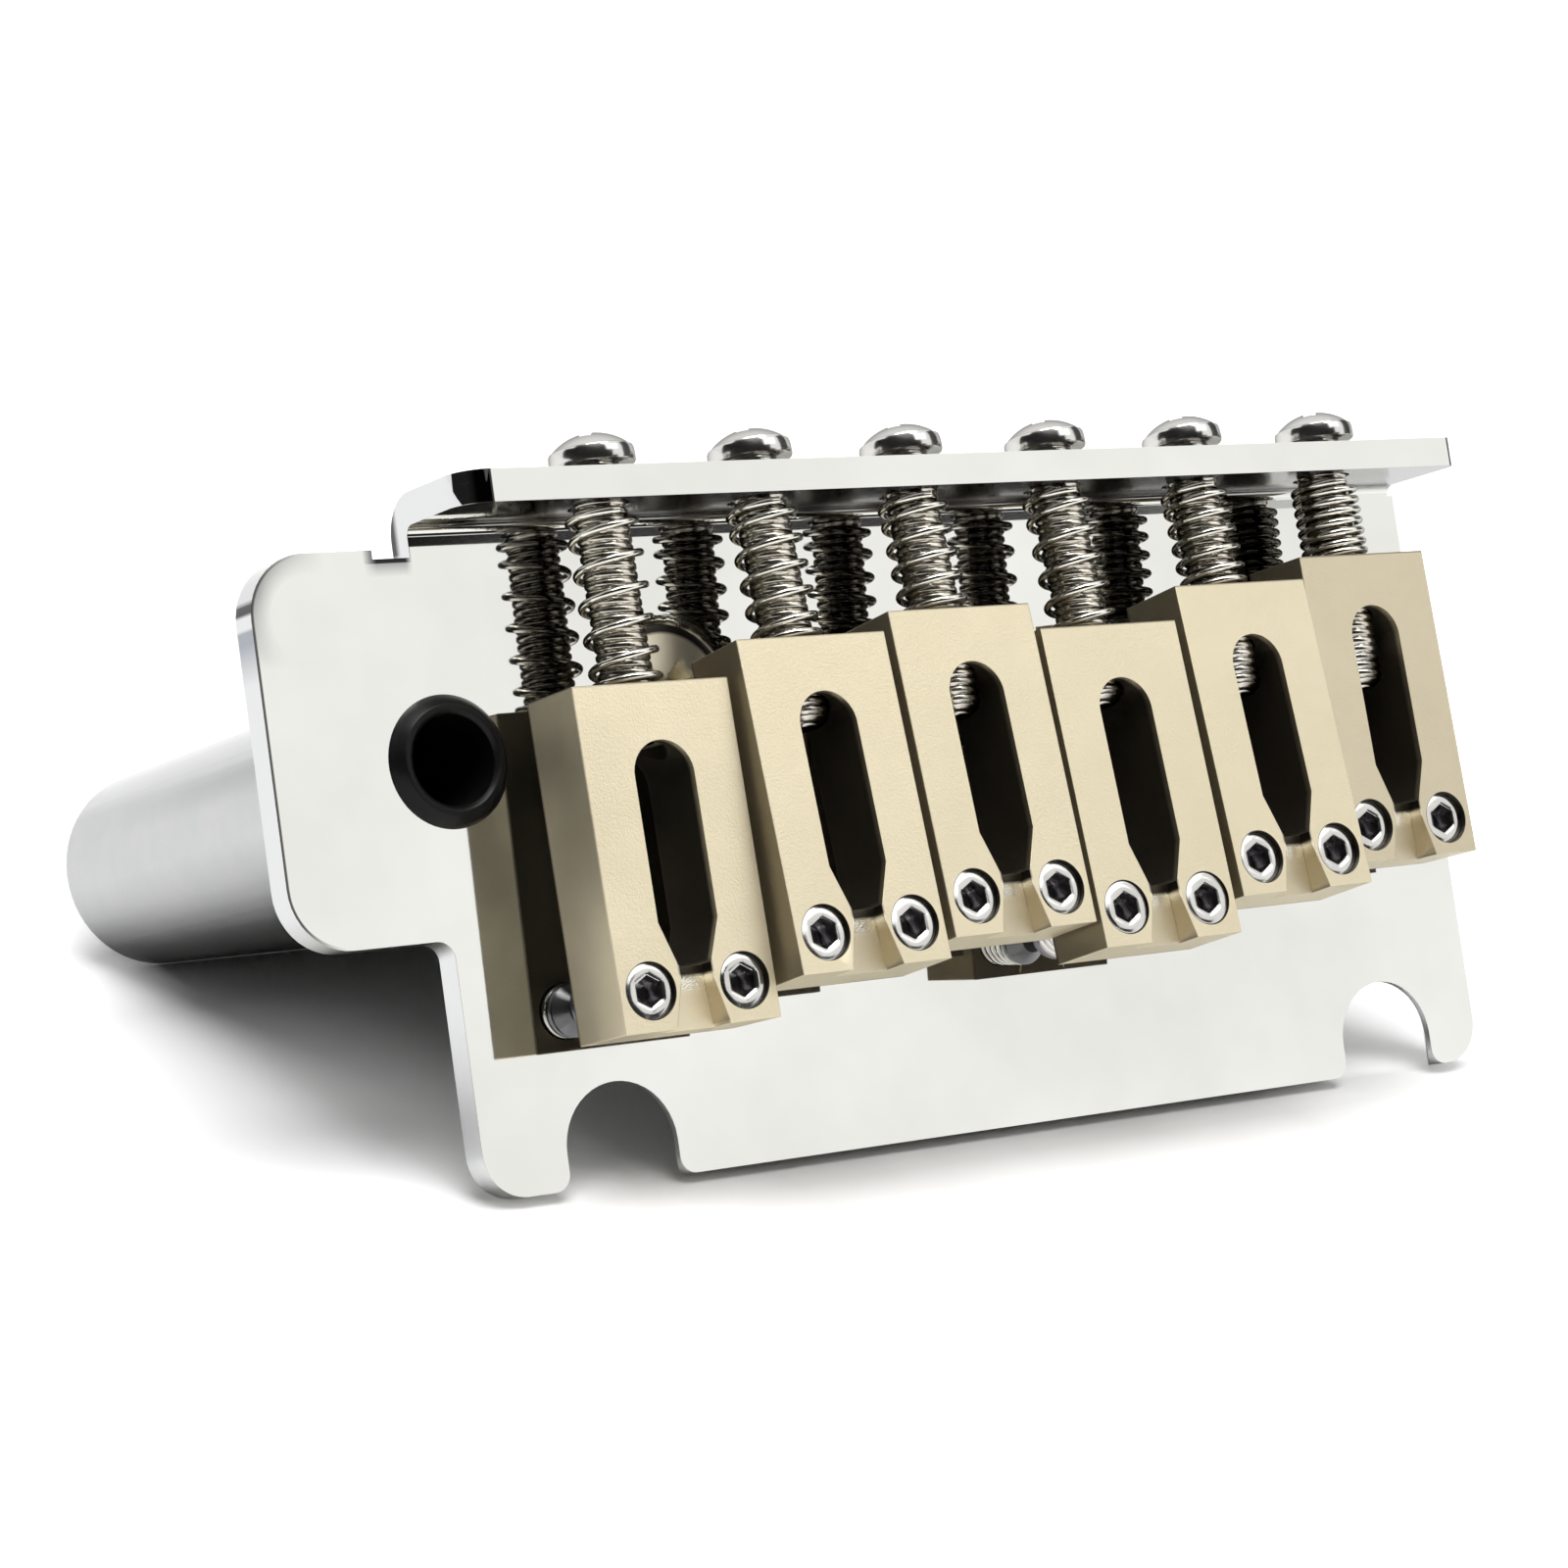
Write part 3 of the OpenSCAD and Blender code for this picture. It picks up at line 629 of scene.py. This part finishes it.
# %% Threaded screws
SCREW_RADIUS = 1.5
SCREW_TIP = 14.2
POINT_LENGTH = 0.5
POINT_SCALE = 0.65
THREAD_PITCH = 0.5
THREAD_DEPTH = 0.12
HEAD_SEAT = 1.28
HEAD_RADIUS = 2.4
HEAD_HEIGHT = 1.9
HEAD_DOME = 1.1
HEAD_ROUND_WIDTH = 0.0875
HEAD_ROUND_HEIGHT = 0.45
RECESS_SPAN = 2.8
RECESS_WIDTH = 0.8
RECESS_DEPTH = 1.2
RECESS_WALL = 0.16
RECESS_END = 0.45
COLUMNS = 72
ROWS_A_PITCH = 10


def thread_radius(along, turn):
    """The radius of a thread: full over the wide crest and less by the depth at the narrow
    root, as the third power of a cosine wave of the length along minus the turn, so that it
    climbs one pitch a turn."""
    phase = along / THREAD_PITCH - turn / (2 * np.pi)
    return SCREW_RADIUS - THREAD_DEPTH * (0.5 - 0.5 * np.cos(2 * np.pi * phase)) ** 3


def smooth_between(piece, angle=40):
    """Shades a piece smooth, but keeps edges sharper than the angle, in degrees."""
    piece.data.polygons.foreach_set("use_smooth", [True] * len(piece.data.polygons))
    piece.data.set_sharp_from_angle(angle=np.radians(angle))
    return piece


def recess(across, up):
    """How deep the cross recess is at a place on the head: two arms at right angles, each
    with walls that lean in, deepest at the middle."""
    def arm(a, b):
        side = np.clip((RECESS_WIDTH / 2 - np.abs(a)) / RECESS_WALL, 0, 1)
        end = np.clip((RECESS_SPAN / 2 - np.abs(b)) / RECESS_END, 0, 1)
        return np.minimum(side, end)
    a, b = (across + up) / np.sqrt(2), (across - up) / np.sqrt(2)
    return RECESS_DEPTH * np.maximum(arm(a, b), arm(b, a))


def screw_grid(tip, seat):
    """Rows of points from the tip to the middle of the head. Along the shaft the radius is
    the thread's, drawn in over the last half millimetre; under the head it steps out; over
    the head it follows a circle's arc, and the recess is taken off its height."""
    turn = np.linspace(0, 2 * np.pi, COLUMNS, endpoint=False)
    shaft = np.linspace(-tip, seat, int((tip + seat) / THREAD_PITCH * ROWS_A_PITCH))
    point = np.clip((shaft + tip) / POINT_LENGTH, 0, 1) * (1 - POINT_SCALE) + POINT_SCALE
    radius = thread_radius(shaft[:, None], turn[None]) * point[:, None]
    rows = [np.stack([radius * np.cos(turn), -shaft[:, None] + 0 * radius,
                      radius * np.sin(turn)], -1)]
    dome_r = (HEAD_RADIUS ** 2 + HEAD_DOME ** 2) / (2 * HEAD_DOME)
    under = [(SCREW_RADIUS, 0), (HEAD_RADIUS - 0.15, 0), (HEAD_RADIUS - 0.04, 0.04),
             (HEAD_RADIUS, 0.15)]
    arc = np.linspace(1, 0, 45)[1:-1] * (HEAD_RADIUS - HEAD_ROUND_WIDTH)
    height = HEAD_HEIGHT - dome_r + np.sqrt(dome_r ** 2 - arc ** 2)
    bend = [(HEAD_RADIUS - HEAD_ROUND_WIDTH * t ** 2,
             height[0] - HEAD_ROUND_HEIGHT * (1 - t) ** 1.5)
            for t in np.linspace(0, 1, 7)[:-1]]
    r = np.array([p[0] for p in under + bend] + arc.tolist())
    h = np.array([p[1] for p in under + bend] + height.tolist())
    across, up = r[:, None] * np.cos(turn), r[:, None] * np.sin(turn)
    sunk = recess(across, up) * (h[:, None] > HEAD_HEIGHT - HEAD_DOME)
    rows.append(np.stack([across, -(seat + h[:, None] - sunk), up], -1))
    return np.concatenate(rows)


screw_nickel = metal_finish(
    "screw_nickel", dark=(0.68, 0.64, 0.57), light=(0.80, 0.76, 0.69),
    smooth=0.16, rough=0.24, cloud_scale=400, grain_scale=1500, grain=0.03,
    edge=(0.4, 0.4, 0.4))
tree = screw_nickel.node_tree
known = measures(tree)
shaft = (24, 25, 33.5, 34.5)
paint(tree, known, (0.17, 0.16, 0.14), y=shaft)
paint(tree, known, (0.66, 0.62, 0.54), y=shaft, facing_z=(-0.3, 0.15))
paint(tree, known, (0.07, 0.06, 0.045), y=(24, 23), facing_x=(-0.35, 0.0))
paint(tree, known, (0.74, 0.73, 0.70), 0.16, y=(36.6, 36.8))
for k in STRINGS:
    # the middle of the head's last row is sunk with the recess, so the pole is too
    grid = on_line(k, screw_grid(SCREW_TIP, HEAD_SEAT))
    screw = smooth_between(tube_piece(f"intonation_screw_{k}_threaded", grid))
    screw.data.materials.append(screw_nickel)
    stands_for(screw, f"intonation_screw_{k}")
print("a screw has", len(screw.data.polygons), "faces")

# %% [markdown]
# ## The springs
#
# Each spring pushes its saddle forward against the screw's pull. Its wire is a circle
# carried along a helix; the pitch closes up over the last turn at both ends, so the spring
# sits flat on the lip and on the saddle, and the wire's ends are cut off square.
#
# The underside of the wire is painted dark, since it looks down into the shade.

# %% Springs
WIRE = 0.43
WIRE_SIDES = 12
COIL_RADIUS = 1.83
SPRING_START = 1.26
SPRING_PLAY = 0.05
CLOSED_CURL = 0.8
CLOSED_RISE = 0.85 * WIRE
CURL_POINTS = 36
CURLS = {1: 6.4, 2: 6.2, 3: 5.8, 4: 5.9, 5: 6.3, 6: 7.3}


def spring_grid(k):
    """The helix turns evenly, while its rise along the axis is slow over the first and last
    0.8 of a curl, where it rises nearly one wire, and even between. Round each point stands
    a circle in the plane of the outward direction and the one square to it and the wire."""
    start, end = SPRING_START + WIRE / 2, rear_face(k) - SPRING_PLAY - WIRE / 2
    curls = CURLS[k]
    t = np.linspace(0, curls, int(curls * CURL_POINTS) + 1)
    along = np.interp(t, [0, CLOSED_CURL, curls - CLOSED_CURL, curls],
                      [start, start + CLOSED_RISE, end - CLOSED_RISE, end])
    turn = 2 * np.pi * t + np.pi / 2
    middle = np.stack([COIL_RADIUS * np.cos(turn), along, COIL_RADIUS * np.sin(turn)], -1)
    heading = np.gradient(middle, axis=0)
    heading /= np.linalg.norm(heading, axis=1, keepdims=True)
    outward = np.stack([np.cos(turn), 0 * turn, np.sin(turn)], -1)
    side = np.cross(heading, outward)
    ring = np.linspace(0, 2 * np.pi, WIRE_SIDES, endpoint=False)[None, :, None]
    return middle[:, None] + WIRE / 2 * (outward[:, None] * np.cos(ring)
                                         + side[:, None] * np.sin(ring))


spring_steel = metal_finish(
    "spring_steel", dark=(0.76, 0.73, 0.65), light=(0.88, 0.85, 0.77),
    smooth=0.10, rough=0.17, cloud_scale=500, grain_scale=2500, grain=0.03,
    edge=(0.4, 0.4, 0.4))
tree = spring_steel.node_tree
paint(tree, measures(tree), (0.13, 0.125, 0.11), facing_z=(0.0, -0.45))
for k in STRINGS:
    spring = tube_piece(f"intonation_spring_{k}_wound", on_line(k, spring_grid(k)))
    smooth_between(spring).data.materials.append(spring_steel)
    stands_for(spring, f"intonation_spring_{k}")
    # from here on the mesh is final: it is taken off its body, and its place is baked into its
    # points
    spring.parent = None
    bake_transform(spring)
print("a spring has", len(spring.data.polygons), "faces")

# %% [markdown]
# ## The height screws
#
# Two small socket screws carry each saddle's front. Each is one surface again, from the
# flat of its tip, up the thread, over the bevelled rim and down into the hexagon socket,
# whose walls are a circle's points moved out to six straight lines. How high a screw stands
# is read from its CAD part.
#
# A mesh can carry numbers of its own. Here every point of the socket gets a 1 under the
# name "deep", and the metal reads that name to paint shade inside the socket. The ends near
# the plate get painted shade as well, since they stand in the saddle's shade.

# %% Height screws
SET_TIP = 0.8
SET_COLUMNS = 48
SET_ROWS_A_PITCH = 7
SOCKET_FLATS = 1.5
SOCKET_DEPTH = 1.6
SOCKET_ROWS = 3
RIM_BEVEL = 0.09

socket_nickel = metal_finish(
    "socket_nickel", dark=(0.62, 0.61, 0.58), light=(0.76, 0.75, 0.72),
    smooth=0.10, rough=0.18, cloud_scale=500, grain_scale=1500, grain=0.03)
tree = socket_nickel.node_tree
known = measures(tree)
deep = tree.nodes.new("ShaderNodeAttribute")
deep.attribute_name = "deep"
known["deep"] = deep.outputs["Fac"], 1
# painted shade near the plate and inside the socket
paint(tree, known, (0.20, 0.20, 0.22), 0.3, z=(-0.2, -0.1, 1.6, 2.0))
paint(tree, known, (0.42, 0.41, 0.42), 0.2, deep=(0, 1))


def hexagon(turn):
    """The radius of a hexagon at a turn: half its width over the flats, divided by the
    cosine of the angle to the middle of the nearest side."""
    return SOCKET_FLATS / 2 / np.cos((turn + np.pi / 6) % (np.pi / 3) - np.pi / 6)


def height_screw_grid(length):
    """Rows of (across, along, above) from the tip up the outside and down the socket."""
    turn = np.linspace(0, 2 * np.pi, SET_COLUMNS, endpoint=False)
    cone = SET_RADIUS - SET_TIP
    shaft = np.linspace(cone, length - RIM_BEVEL, int(length / THREAD_PITCH * SET_ROWS_A_PITCH))
    ring = SET_RADIUS - RIM_BEVEL
    socket = hexagon(turn)
    rows = [(SET_TIP, 0.0)] + [(thread_radius(h, turn), h) for h in shaft]
    rows += [(SET_RADIUS - 0.02, length - RIM_BEVEL * 0.98),
             ((SET_RADIUS + ring) / 2 + 0.05, length - RIM_BEVEL * 0.42),
             (ring, length - 0.03), (ring - 0.08, length),
             (socket + 0.10, length), (socket + 0.03, length - 0.03),
             (socket, length - 0.12), (socket, length - SOCKET_DEPTH),
             (socket * 0.4, length - SOCKET_DEPTH - 0.2)]
    return np.stack([np.stack([r * np.cos(turn), r * np.sin(turn), h + 0 * turn], -1)
                     for r, h in rows])


for k in STRINGS:
    for side, name in ((-1, "high"), (1, "low")):
        node = f"height_screw_{k}_{name}"
        points = np.array([v.co for v in frame["nodes"][node].data.vertices]) / MM
        foot, top = (f(above_line(k, points)) for f in (np.min, np.max))
        grid = height_screw_grid(top - foot)
        # a right-handed turn: along grows to the front, so the grid is mirrored along it
        grid = grid * (1, -1, 1) + (side * SET_SIDE, REACH[k] - SET_BACK, foot)
        screw = smooth_between(tube_piece(node + "_threaded", on_line(k, grid)), 35)
        outside = (len(grid) - SOCKET_ROWS) * grid.shape[1]
        sunk = np.arange(len(screw.data.vertices)) > outside
        screw.data.attributes.new("deep", "FLOAT", "POINT").data.foreach_set(
            "value", sunk.astype(np.float32))
        screw.data.materials.append(socket_nickel)
        stands_for(screw, node)
print("a height screw has", len(screw.data.polygons), "faces")

# %% [markdown]
# ## The block's screws
#
# Three countersunk screws hold the block under the plate. Each is turned round its own axis
# from one profile, and the cross is sunk into the head with the same function as above, only
# wider. The three surfaces are put into one mesh, since the CAD part is one as well.
#
# Their heads lie below the plate's face, which is how the paint finds them. It makes them
# satin, painted cream as a reflection of the saddles, with a ring of painted shade near the
# rim, as the one between the first two springs has.

# %% Block screws
BLOCK_SCREW_PITCH = 20.9
BLOCK_SCREW_Y = 24.4
BLOCK_HEAD_RADIUS = 4.2
BLOCK_HEAD_TOP = -0.35
BLOCK_RECESS_SCALE = 1.64
BLOCK_SHAFT_RADIUS = 1.95
BLOCK_SCREW_TIP = -12.8
PLATE_THICKNESS = 1.8

tree = socket_nickel.node_tree
head = {"z": (-0.22, -0.28)}
# a painted cream reflection on the heads, and a ring of painted shade near their rims
paint(tree, known, (0.98, 0.90, 0.70), 0.30, **head)
for i in (-1, 0, 1):
    axis = (i * BLOCK_SCREW_PITCH * MM, BLOCK_SCREW_Y * MM)
    known["from_axis"] = away_from(tree, known["x"][0], known["y"][0], axis), MM
    paint(tree, known, (0.05, 0.045, 0.04), **head, from_axis=(3.55, 3.75, 4.4, 4.5))


def block_screw_grid(place):
    """Rows of points from the tip, up the shaft and the cone, over a narrow rim and across
    the flat top, which the cross recess sinks into."""
    turn = np.linspace(0, 2 * np.pi, 96, endpoint=False)
    across = np.linspace(BLOCK_HEAD_RADIUS - 0.12, 0.06, 40)
    profile = [(BLOCK_SHAFT_RADIUS - 0.3, BLOCK_SCREW_TIP),
               (BLOCK_SHAFT_RADIUS, BLOCK_SCREW_TIP + 0.3),
               (BLOCK_SHAFT_RADIUS, -PLATE_THICKNESS),
               (BLOCK_HEAD_RADIUS - 0.06, BLOCK_HEAD_TOP - 0.09),
               (BLOCK_HEAD_RADIUS - 0.05, BLOCK_HEAD_TOP - 0.03)]
    r = np.array([p[0] for p in profile] + across.tolist())[:, None]
    z = np.array([p[1] for p in profile] + [BLOCK_HEAD_TOP] * len(across))[:, None]
    x, y = r * np.cos(turn), r * np.sin(turn)
    sunk = recess(x / BLOCK_RECESS_SCALE, y / BLOCK_RECESS_SCALE) * (z >= BLOCK_HEAD_TOP)
    return np.stack([x + place, y + BLOCK_SCREW_Y, z - sunk], -1)


grids = [block_screw_grid(i * BLOCK_SCREW_PITCH) for i in (-1, 0, 1)]
rows, columns = grids[0].shape[:2]
points, faces = [], []
for grid in grids:
    start = len(points)
    points += [grid[0].mean(0)] + list(grid.reshape(-1, 3)) + [grid[-1].mean(0)]
    faces += [[corner + start for corner in face] for face in tube_faces(rows, columns)]
block_screws = smooth_between(mesh_from("block_mounting_screws_turned", points, faces), 25)
block_screws.data.materials.append(socket_nickel)
stands_for(block_screws, "block_mounting_screws")
print("block screws:", len(faces), "faces")

# %% [markdown]
# ## The arm's bushing
#
# The arm plugs into a moulded black bushing. Moulded nylon has a soft shine, so its black
# is never quite black: a low, wide highlight lies over it.

# %% Bushing
bushing_plastic = bpy.data.materials.new("bushing_plastic")
bushing_plastic.use_nodes = True
tree = bushing_plastic.node_tree
link = tree.links.new
shader = tree.nodes["Principled BSDF"]
shader.inputs["Specular IOR Level"].default_value = 0.2
mottle = add_node(tree, "ShaderNodeTexNoise", Scale=700.0, Detail=4.0)
link(coordinates(tree)["Object"], mottle.inputs["Vector"])
shade = tree.nodes.new("ShaderNodeValToRGB")
for i, level in enumerate((0.003, 0.009)):
    shade.color_ramp.elements[i].color = (level, level, level, 1)
link(mottle.outputs["Fac"], shade.inputs["Fac"])
link(shade.outputs["Color"], shader.inputs["Base Color"])
gloss = add_node(tree, "ShaderNodeMapRange", To_Min=0.25, To_Max=0.4)
link(mottle.outputs["Fac"], gloss.inputs["Value"])
link(gloss.outputs["Result"], shader.inputs["Roughness"])
bump = add_node(tree, "ShaderNodeBump", Strength=0.08, Distance=0.0001)
link(mottle.outputs["Fac"], bump.inputs["Height"])
link(bump.outputs["Normal"], shader.inputs["Normal"])
bushing = smooth_between(round_edges(merged_copy("arm_bushing"), width=0.05, angle=25), 30)
bushing.data.materials.append(bushing_plastic)
stands_for(bushing, "arm_bushing")

# %% [markdown]
# ## The table
#
# The bridge leans on the plate's front edge and on the block's foot, so the table is the
# plane through those two lines. It is plain white, it takes the object's shadow, and from
# below it is left out, so that the bridge can be looked at from that side as well.
#
# In the photograph light bounces into parts of the shadow, and a faint contact shadow lies
# before the plate's front edge. That shadow is painted grey. The bounce is painted light, a
# weak glow in four regions, each with its strength, and only the camera sees it, so that the
# metal's reflections stay as they are.

# %% Table
FRONT_EDGE = Vector((0, -2.0, -1.8)) * MM
FOOT_EDGE = Vector((0, 15.1, -40.4)) * MM
TABLE_SIZE = 3.0
TABLE_BELOW = 0.02
BOUNCE = ((0.14, {"x": (-24, -33), "z": (-34, -18)}), (0.35, {"x": (18, 33)}),
          (0.10, {"x": (-36, -39.5)}), (0.33, {"x": (-34.5, -38.6), "z": (-33, -40)}))

down_table = (FOOT_EDGE - FRONT_EDGE).normalized()
table_up = Vector((1, 0, 0)).cross(down_table)
middle = (FRONT_EDGE + FOOT_EDGE) / 2 - table_up * TABLE_BELOW * MM
corners = [middle + (Vector((x, 0, 0)) + down_table * down) * TABLE_SIZE
           for x, down in ((-1, -1), (1, -1), (1, 1), (-1, 1))]
table = mesh_from("table", np.array(corners) / MM, [(0, 1, 2, 3)])
table_white = bpy.data.materials.new("table_white")
table_white.use_nodes = True
tree = table_white.node_tree
link = tree.links.new
shader = tree.nodes["Principled BSDF"]
shader.inputs["Roughness"].default_value = 0.8
shader.inputs["Specular IOR Level"].default_value = 0.1
white = tree.nodes.new("ShaderNodeRGB").outputs["Color"]
white.default_value = (0.98, 0.98, 0.98, 1)
link(white, shader.inputs["Base Color"])
known = measures(tree)
# a painted contact shadow before the plate's front edge
paint(tree, known, (0.72, 0.72, 0.72), x=(-26, -18), z=(-2.5, -1.5, 1.5, 6.5))
glow = 0.0
for level, limits in BOUNCE:
    glow = maths(tree, "MULTIPLY_ADD", region(tree, known, **limits), level, glow)
ray = tree.nodes.new("ShaderNodeLightPath").outputs
shader.inputs["Emission Color"].default_value = (1, 1, 1, 1)
link(maths(tree, "MULTIPLY", glow, ray["Is Camera Ray"]), shader.inputs["Emission Strength"])
clear = tree.nodes.new("ShaderNodeBsdfTransparent")
turned_to = tree.nodes.new("ShaderNodeNewGeometry")
sheet = tree.nodes.new("ShaderNodeMixShader")
link(turned_to.outputs["Backfacing"], sheet.inputs["Fac"])
link(shader.outputs["BSDF"], sheet.inputs[1])
link(clear.outputs["BSDF"], sheet.inputs[2])
link(sheet.outputs["Shader"], tree.nodes["Material Output"].inputs["Surface"])
table.data.materials.append(table_white)
table.visible_shadow = False
table.visible_diffuse = False
print("the table's up is", [round(v, 3) for v in table_up])

# %% [markdown]
# ## Light
#
# A wide, soft light stands over the table and a dim white world fills the shadows. The
# world looks fully white only to the camera and in mirrors, where nothing dull has been met
# on the way. Chrome shows its room, so the room matters as much as the lamp: dark cards
# stand round the camera, and one more below the white wall, and they draw the dark bands on
# the screw heads, the springs and inside the bend. The camera doesn't see the cards.

# %% World and lamp
FILL = 0.19

world = bpy.data.worlds.new("white_room")
bpy.context.scene.world = world
world.use_nodes = True
tree = world.node_tree
link = tree.links.new
fill = tree.nodes["Background"]
fill.inputs["Color"].default_value = (1, 1, 1, 1)
fill.inputs["Strength"].default_value = FILL
seen = add_node(tree, "ShaderNodeBackground", Color=(1, 1, 1, 1), Strength=1.0)
ray = tree.nodes.new("ShaderNodeLightPath").outputs
mirrored = maths(tree, "MAXIMUM", ray["Is Camera Ray"], ray["Is Glossy Ray"])
direct = maths(tree, "MAXIMUM", mirrored, ray["Is Transmission Ray"])
straight = maths(tree, "LESS_THAN", ray["Diffuse Depth"], 0.5)
room = tree.nodes.new("ShaderNodeMixShader")
link(maths(tree, "MULTIPLY", direct, straight), room.inputs["Fac"])
link(fill.outputs["Background"], room.inputs[1])
link(seen.outputs["Background"], room.inputs[2])
link(room.outputs["Shader"], tree.nodes["World Output"].inputs["Surface"])

overhead = bpy.data.lights.new("overhead", "SUN")
overhead.energy = 3.0
overhead.angle = np.radians(46)
lamp = bpy.data.objects.new("overhead", overhead)
lamp.rotation_mode = "QUATERNION"
lamp.rotation_quaternion = Vector((-0.08, 0.80, 0.60)).to_track_quat("Z", "Y")
bpy.context.scene.collection.objects.link(lamp)

# %% [markdown]
# ## Cards
#
# A card is placed by the directions it covers, as seen from the bridge: an angle from
# straight above the plate towards the low string, and an angle towards the rear. That is how
# a photographer thinks of it too, since a mirror only cares about directions.

# %% Dark cards
CARD_DISTANCE = 1.6
CARD_ROWS, CARD_COLUMNS = 13, 9


def card_paint(name, level):
    """A dull paint that glows at the level itself, so that it mirrors the same from anywhere."""
    finish = bpy.data.materials.new(name)
    finish.use_nodes = True
    shader = finish.node_tree.nodes["Principled BSDF"]
    shader.inputs["Base Color"].default_value = (0, 0, 0, 1)
    shader.inputs["Specular IOR Level"].default_value = 0.0
    shader.inputs["Emission Color"].default_value = (1, 1, 1, 1)
    shader.inputs["Emission Strength"].default_value = level
    return finish


card_black = card_paint("card_black", 0.015)
card_grey = card_paint("card_grey", 0.07)


def direction_of(lean, tilt):
    """The direction that leans from straight above the plate by two angles, in degrees."""
    lean, tilt = np.radians(lean), np.radians(tilt)
    return np.stack([np.sin(lean) * np.cos(tilt), np.sin(tilt), np.cos(lean) * np.cos(tilt)], -1)


def card(name, across, rearward, finish=card_black):
    """A piece of a big sphere round the bridge, between two angles each way."""
    lean, tilt = np.meshgrid(np.linspace(*across, CARD_ROWS),
                             np.linspace(*rearward, CARD_COLUMNS), indexing="ij")
    points = direction_of(lean, tilt).reshape(-1, 3) * CARD_DISTANCE / MM
    row, column = np.meshgrid(np.arange(CARD_ROWS - 1), np.arange(CARD_COLUMNS - 1),
                              indexing="ij")
    corner = row * CARD_COLUMNS + column
    faces = np.stack([corner, corner + 1, corner + CARD_COLUMNS + 1,
                      corner + CARD_COLUMNS], -1)
    sheet = mesh_from(name, points, faces.reshape(-1, 4).tolist())
    sheet.data.materials.append(finish)
    sheet.visible_camera = False
    sheet.visible_shadow = False
    sheet.visible_diffuse = False


card("card_camera_side", across=(-112, 25.6), rearward=(-24, 14))
card("card_beside_softbox", across=(-112, 10), rearward=(14, 36))
card("card_above_softbox", across=(-80, 4), rearward=(36, 52), finish=card_grey)
card("card_low", across=(26.3, 41), rearward=(-24, -3))
card("card_right", across=(60, 95), rearward=(-24, 36), finish=card_grey)
card("card_front", across=(10, 88), rearward=(-72, -24))

# %% [markdown]
# ## The softbox
#
# The saddles' tops are tilted a little more than the plate, so they look at a place in the
# room just above the one the plate mirrors. A broad softbox hangs there: it lights the satin
# and doesn't show in the mirror. Its power is its brightness, where white is 1, by pi and
# by its area.

# %% Softbox
SOFTBOX_DISTANCE = 1.2
SOFTBOX_LEAN, SOFTBOX_TILT = 27, 24
SOFTBOX_WIDTH, SOFTBOX_HEIGHT = 0.75, 0.38
SOFTBOX_LEVEL = 0.7

softbox = bpy.data.lights.new("softbox", "AREA")
softbox.shape = "RECTANGLE"
softbox.size, softbox.size_y = SOFTBOX_WIDTH, SOFTBOX_HEIGHT
softbox.energy = SOFTBOX_LEVEL * np.pi * SOFTBOX_WIDTH * SOFTBOX_HEIGHT
away = Vector(direction_of(SOFTBOX_LEAN, SOFTBOX_TILT))
lean = np.radians(SOFTBOX_LEAN)
wide = Vector((np.cos(lean), 0, -np.sin(lean)))
facing = Matrix((wide, away.cross(wide), away)).transposed()
lamp = bpy.data.objects.new("softbox", softbox)
lamp.matrix_world = Matrix.Translation(away * SOFTBOX_DISTANCE) @ facing.to_4x4()
lamp.visible_camera = False
bpy.context.scene.collection.objects.link(lamp)

# %% [markdown]
# ## The last word
#
# The colours go to the screen without a film look.

# %% Finish
bpy.context.scene.view_settings.view_transform = "Standard"
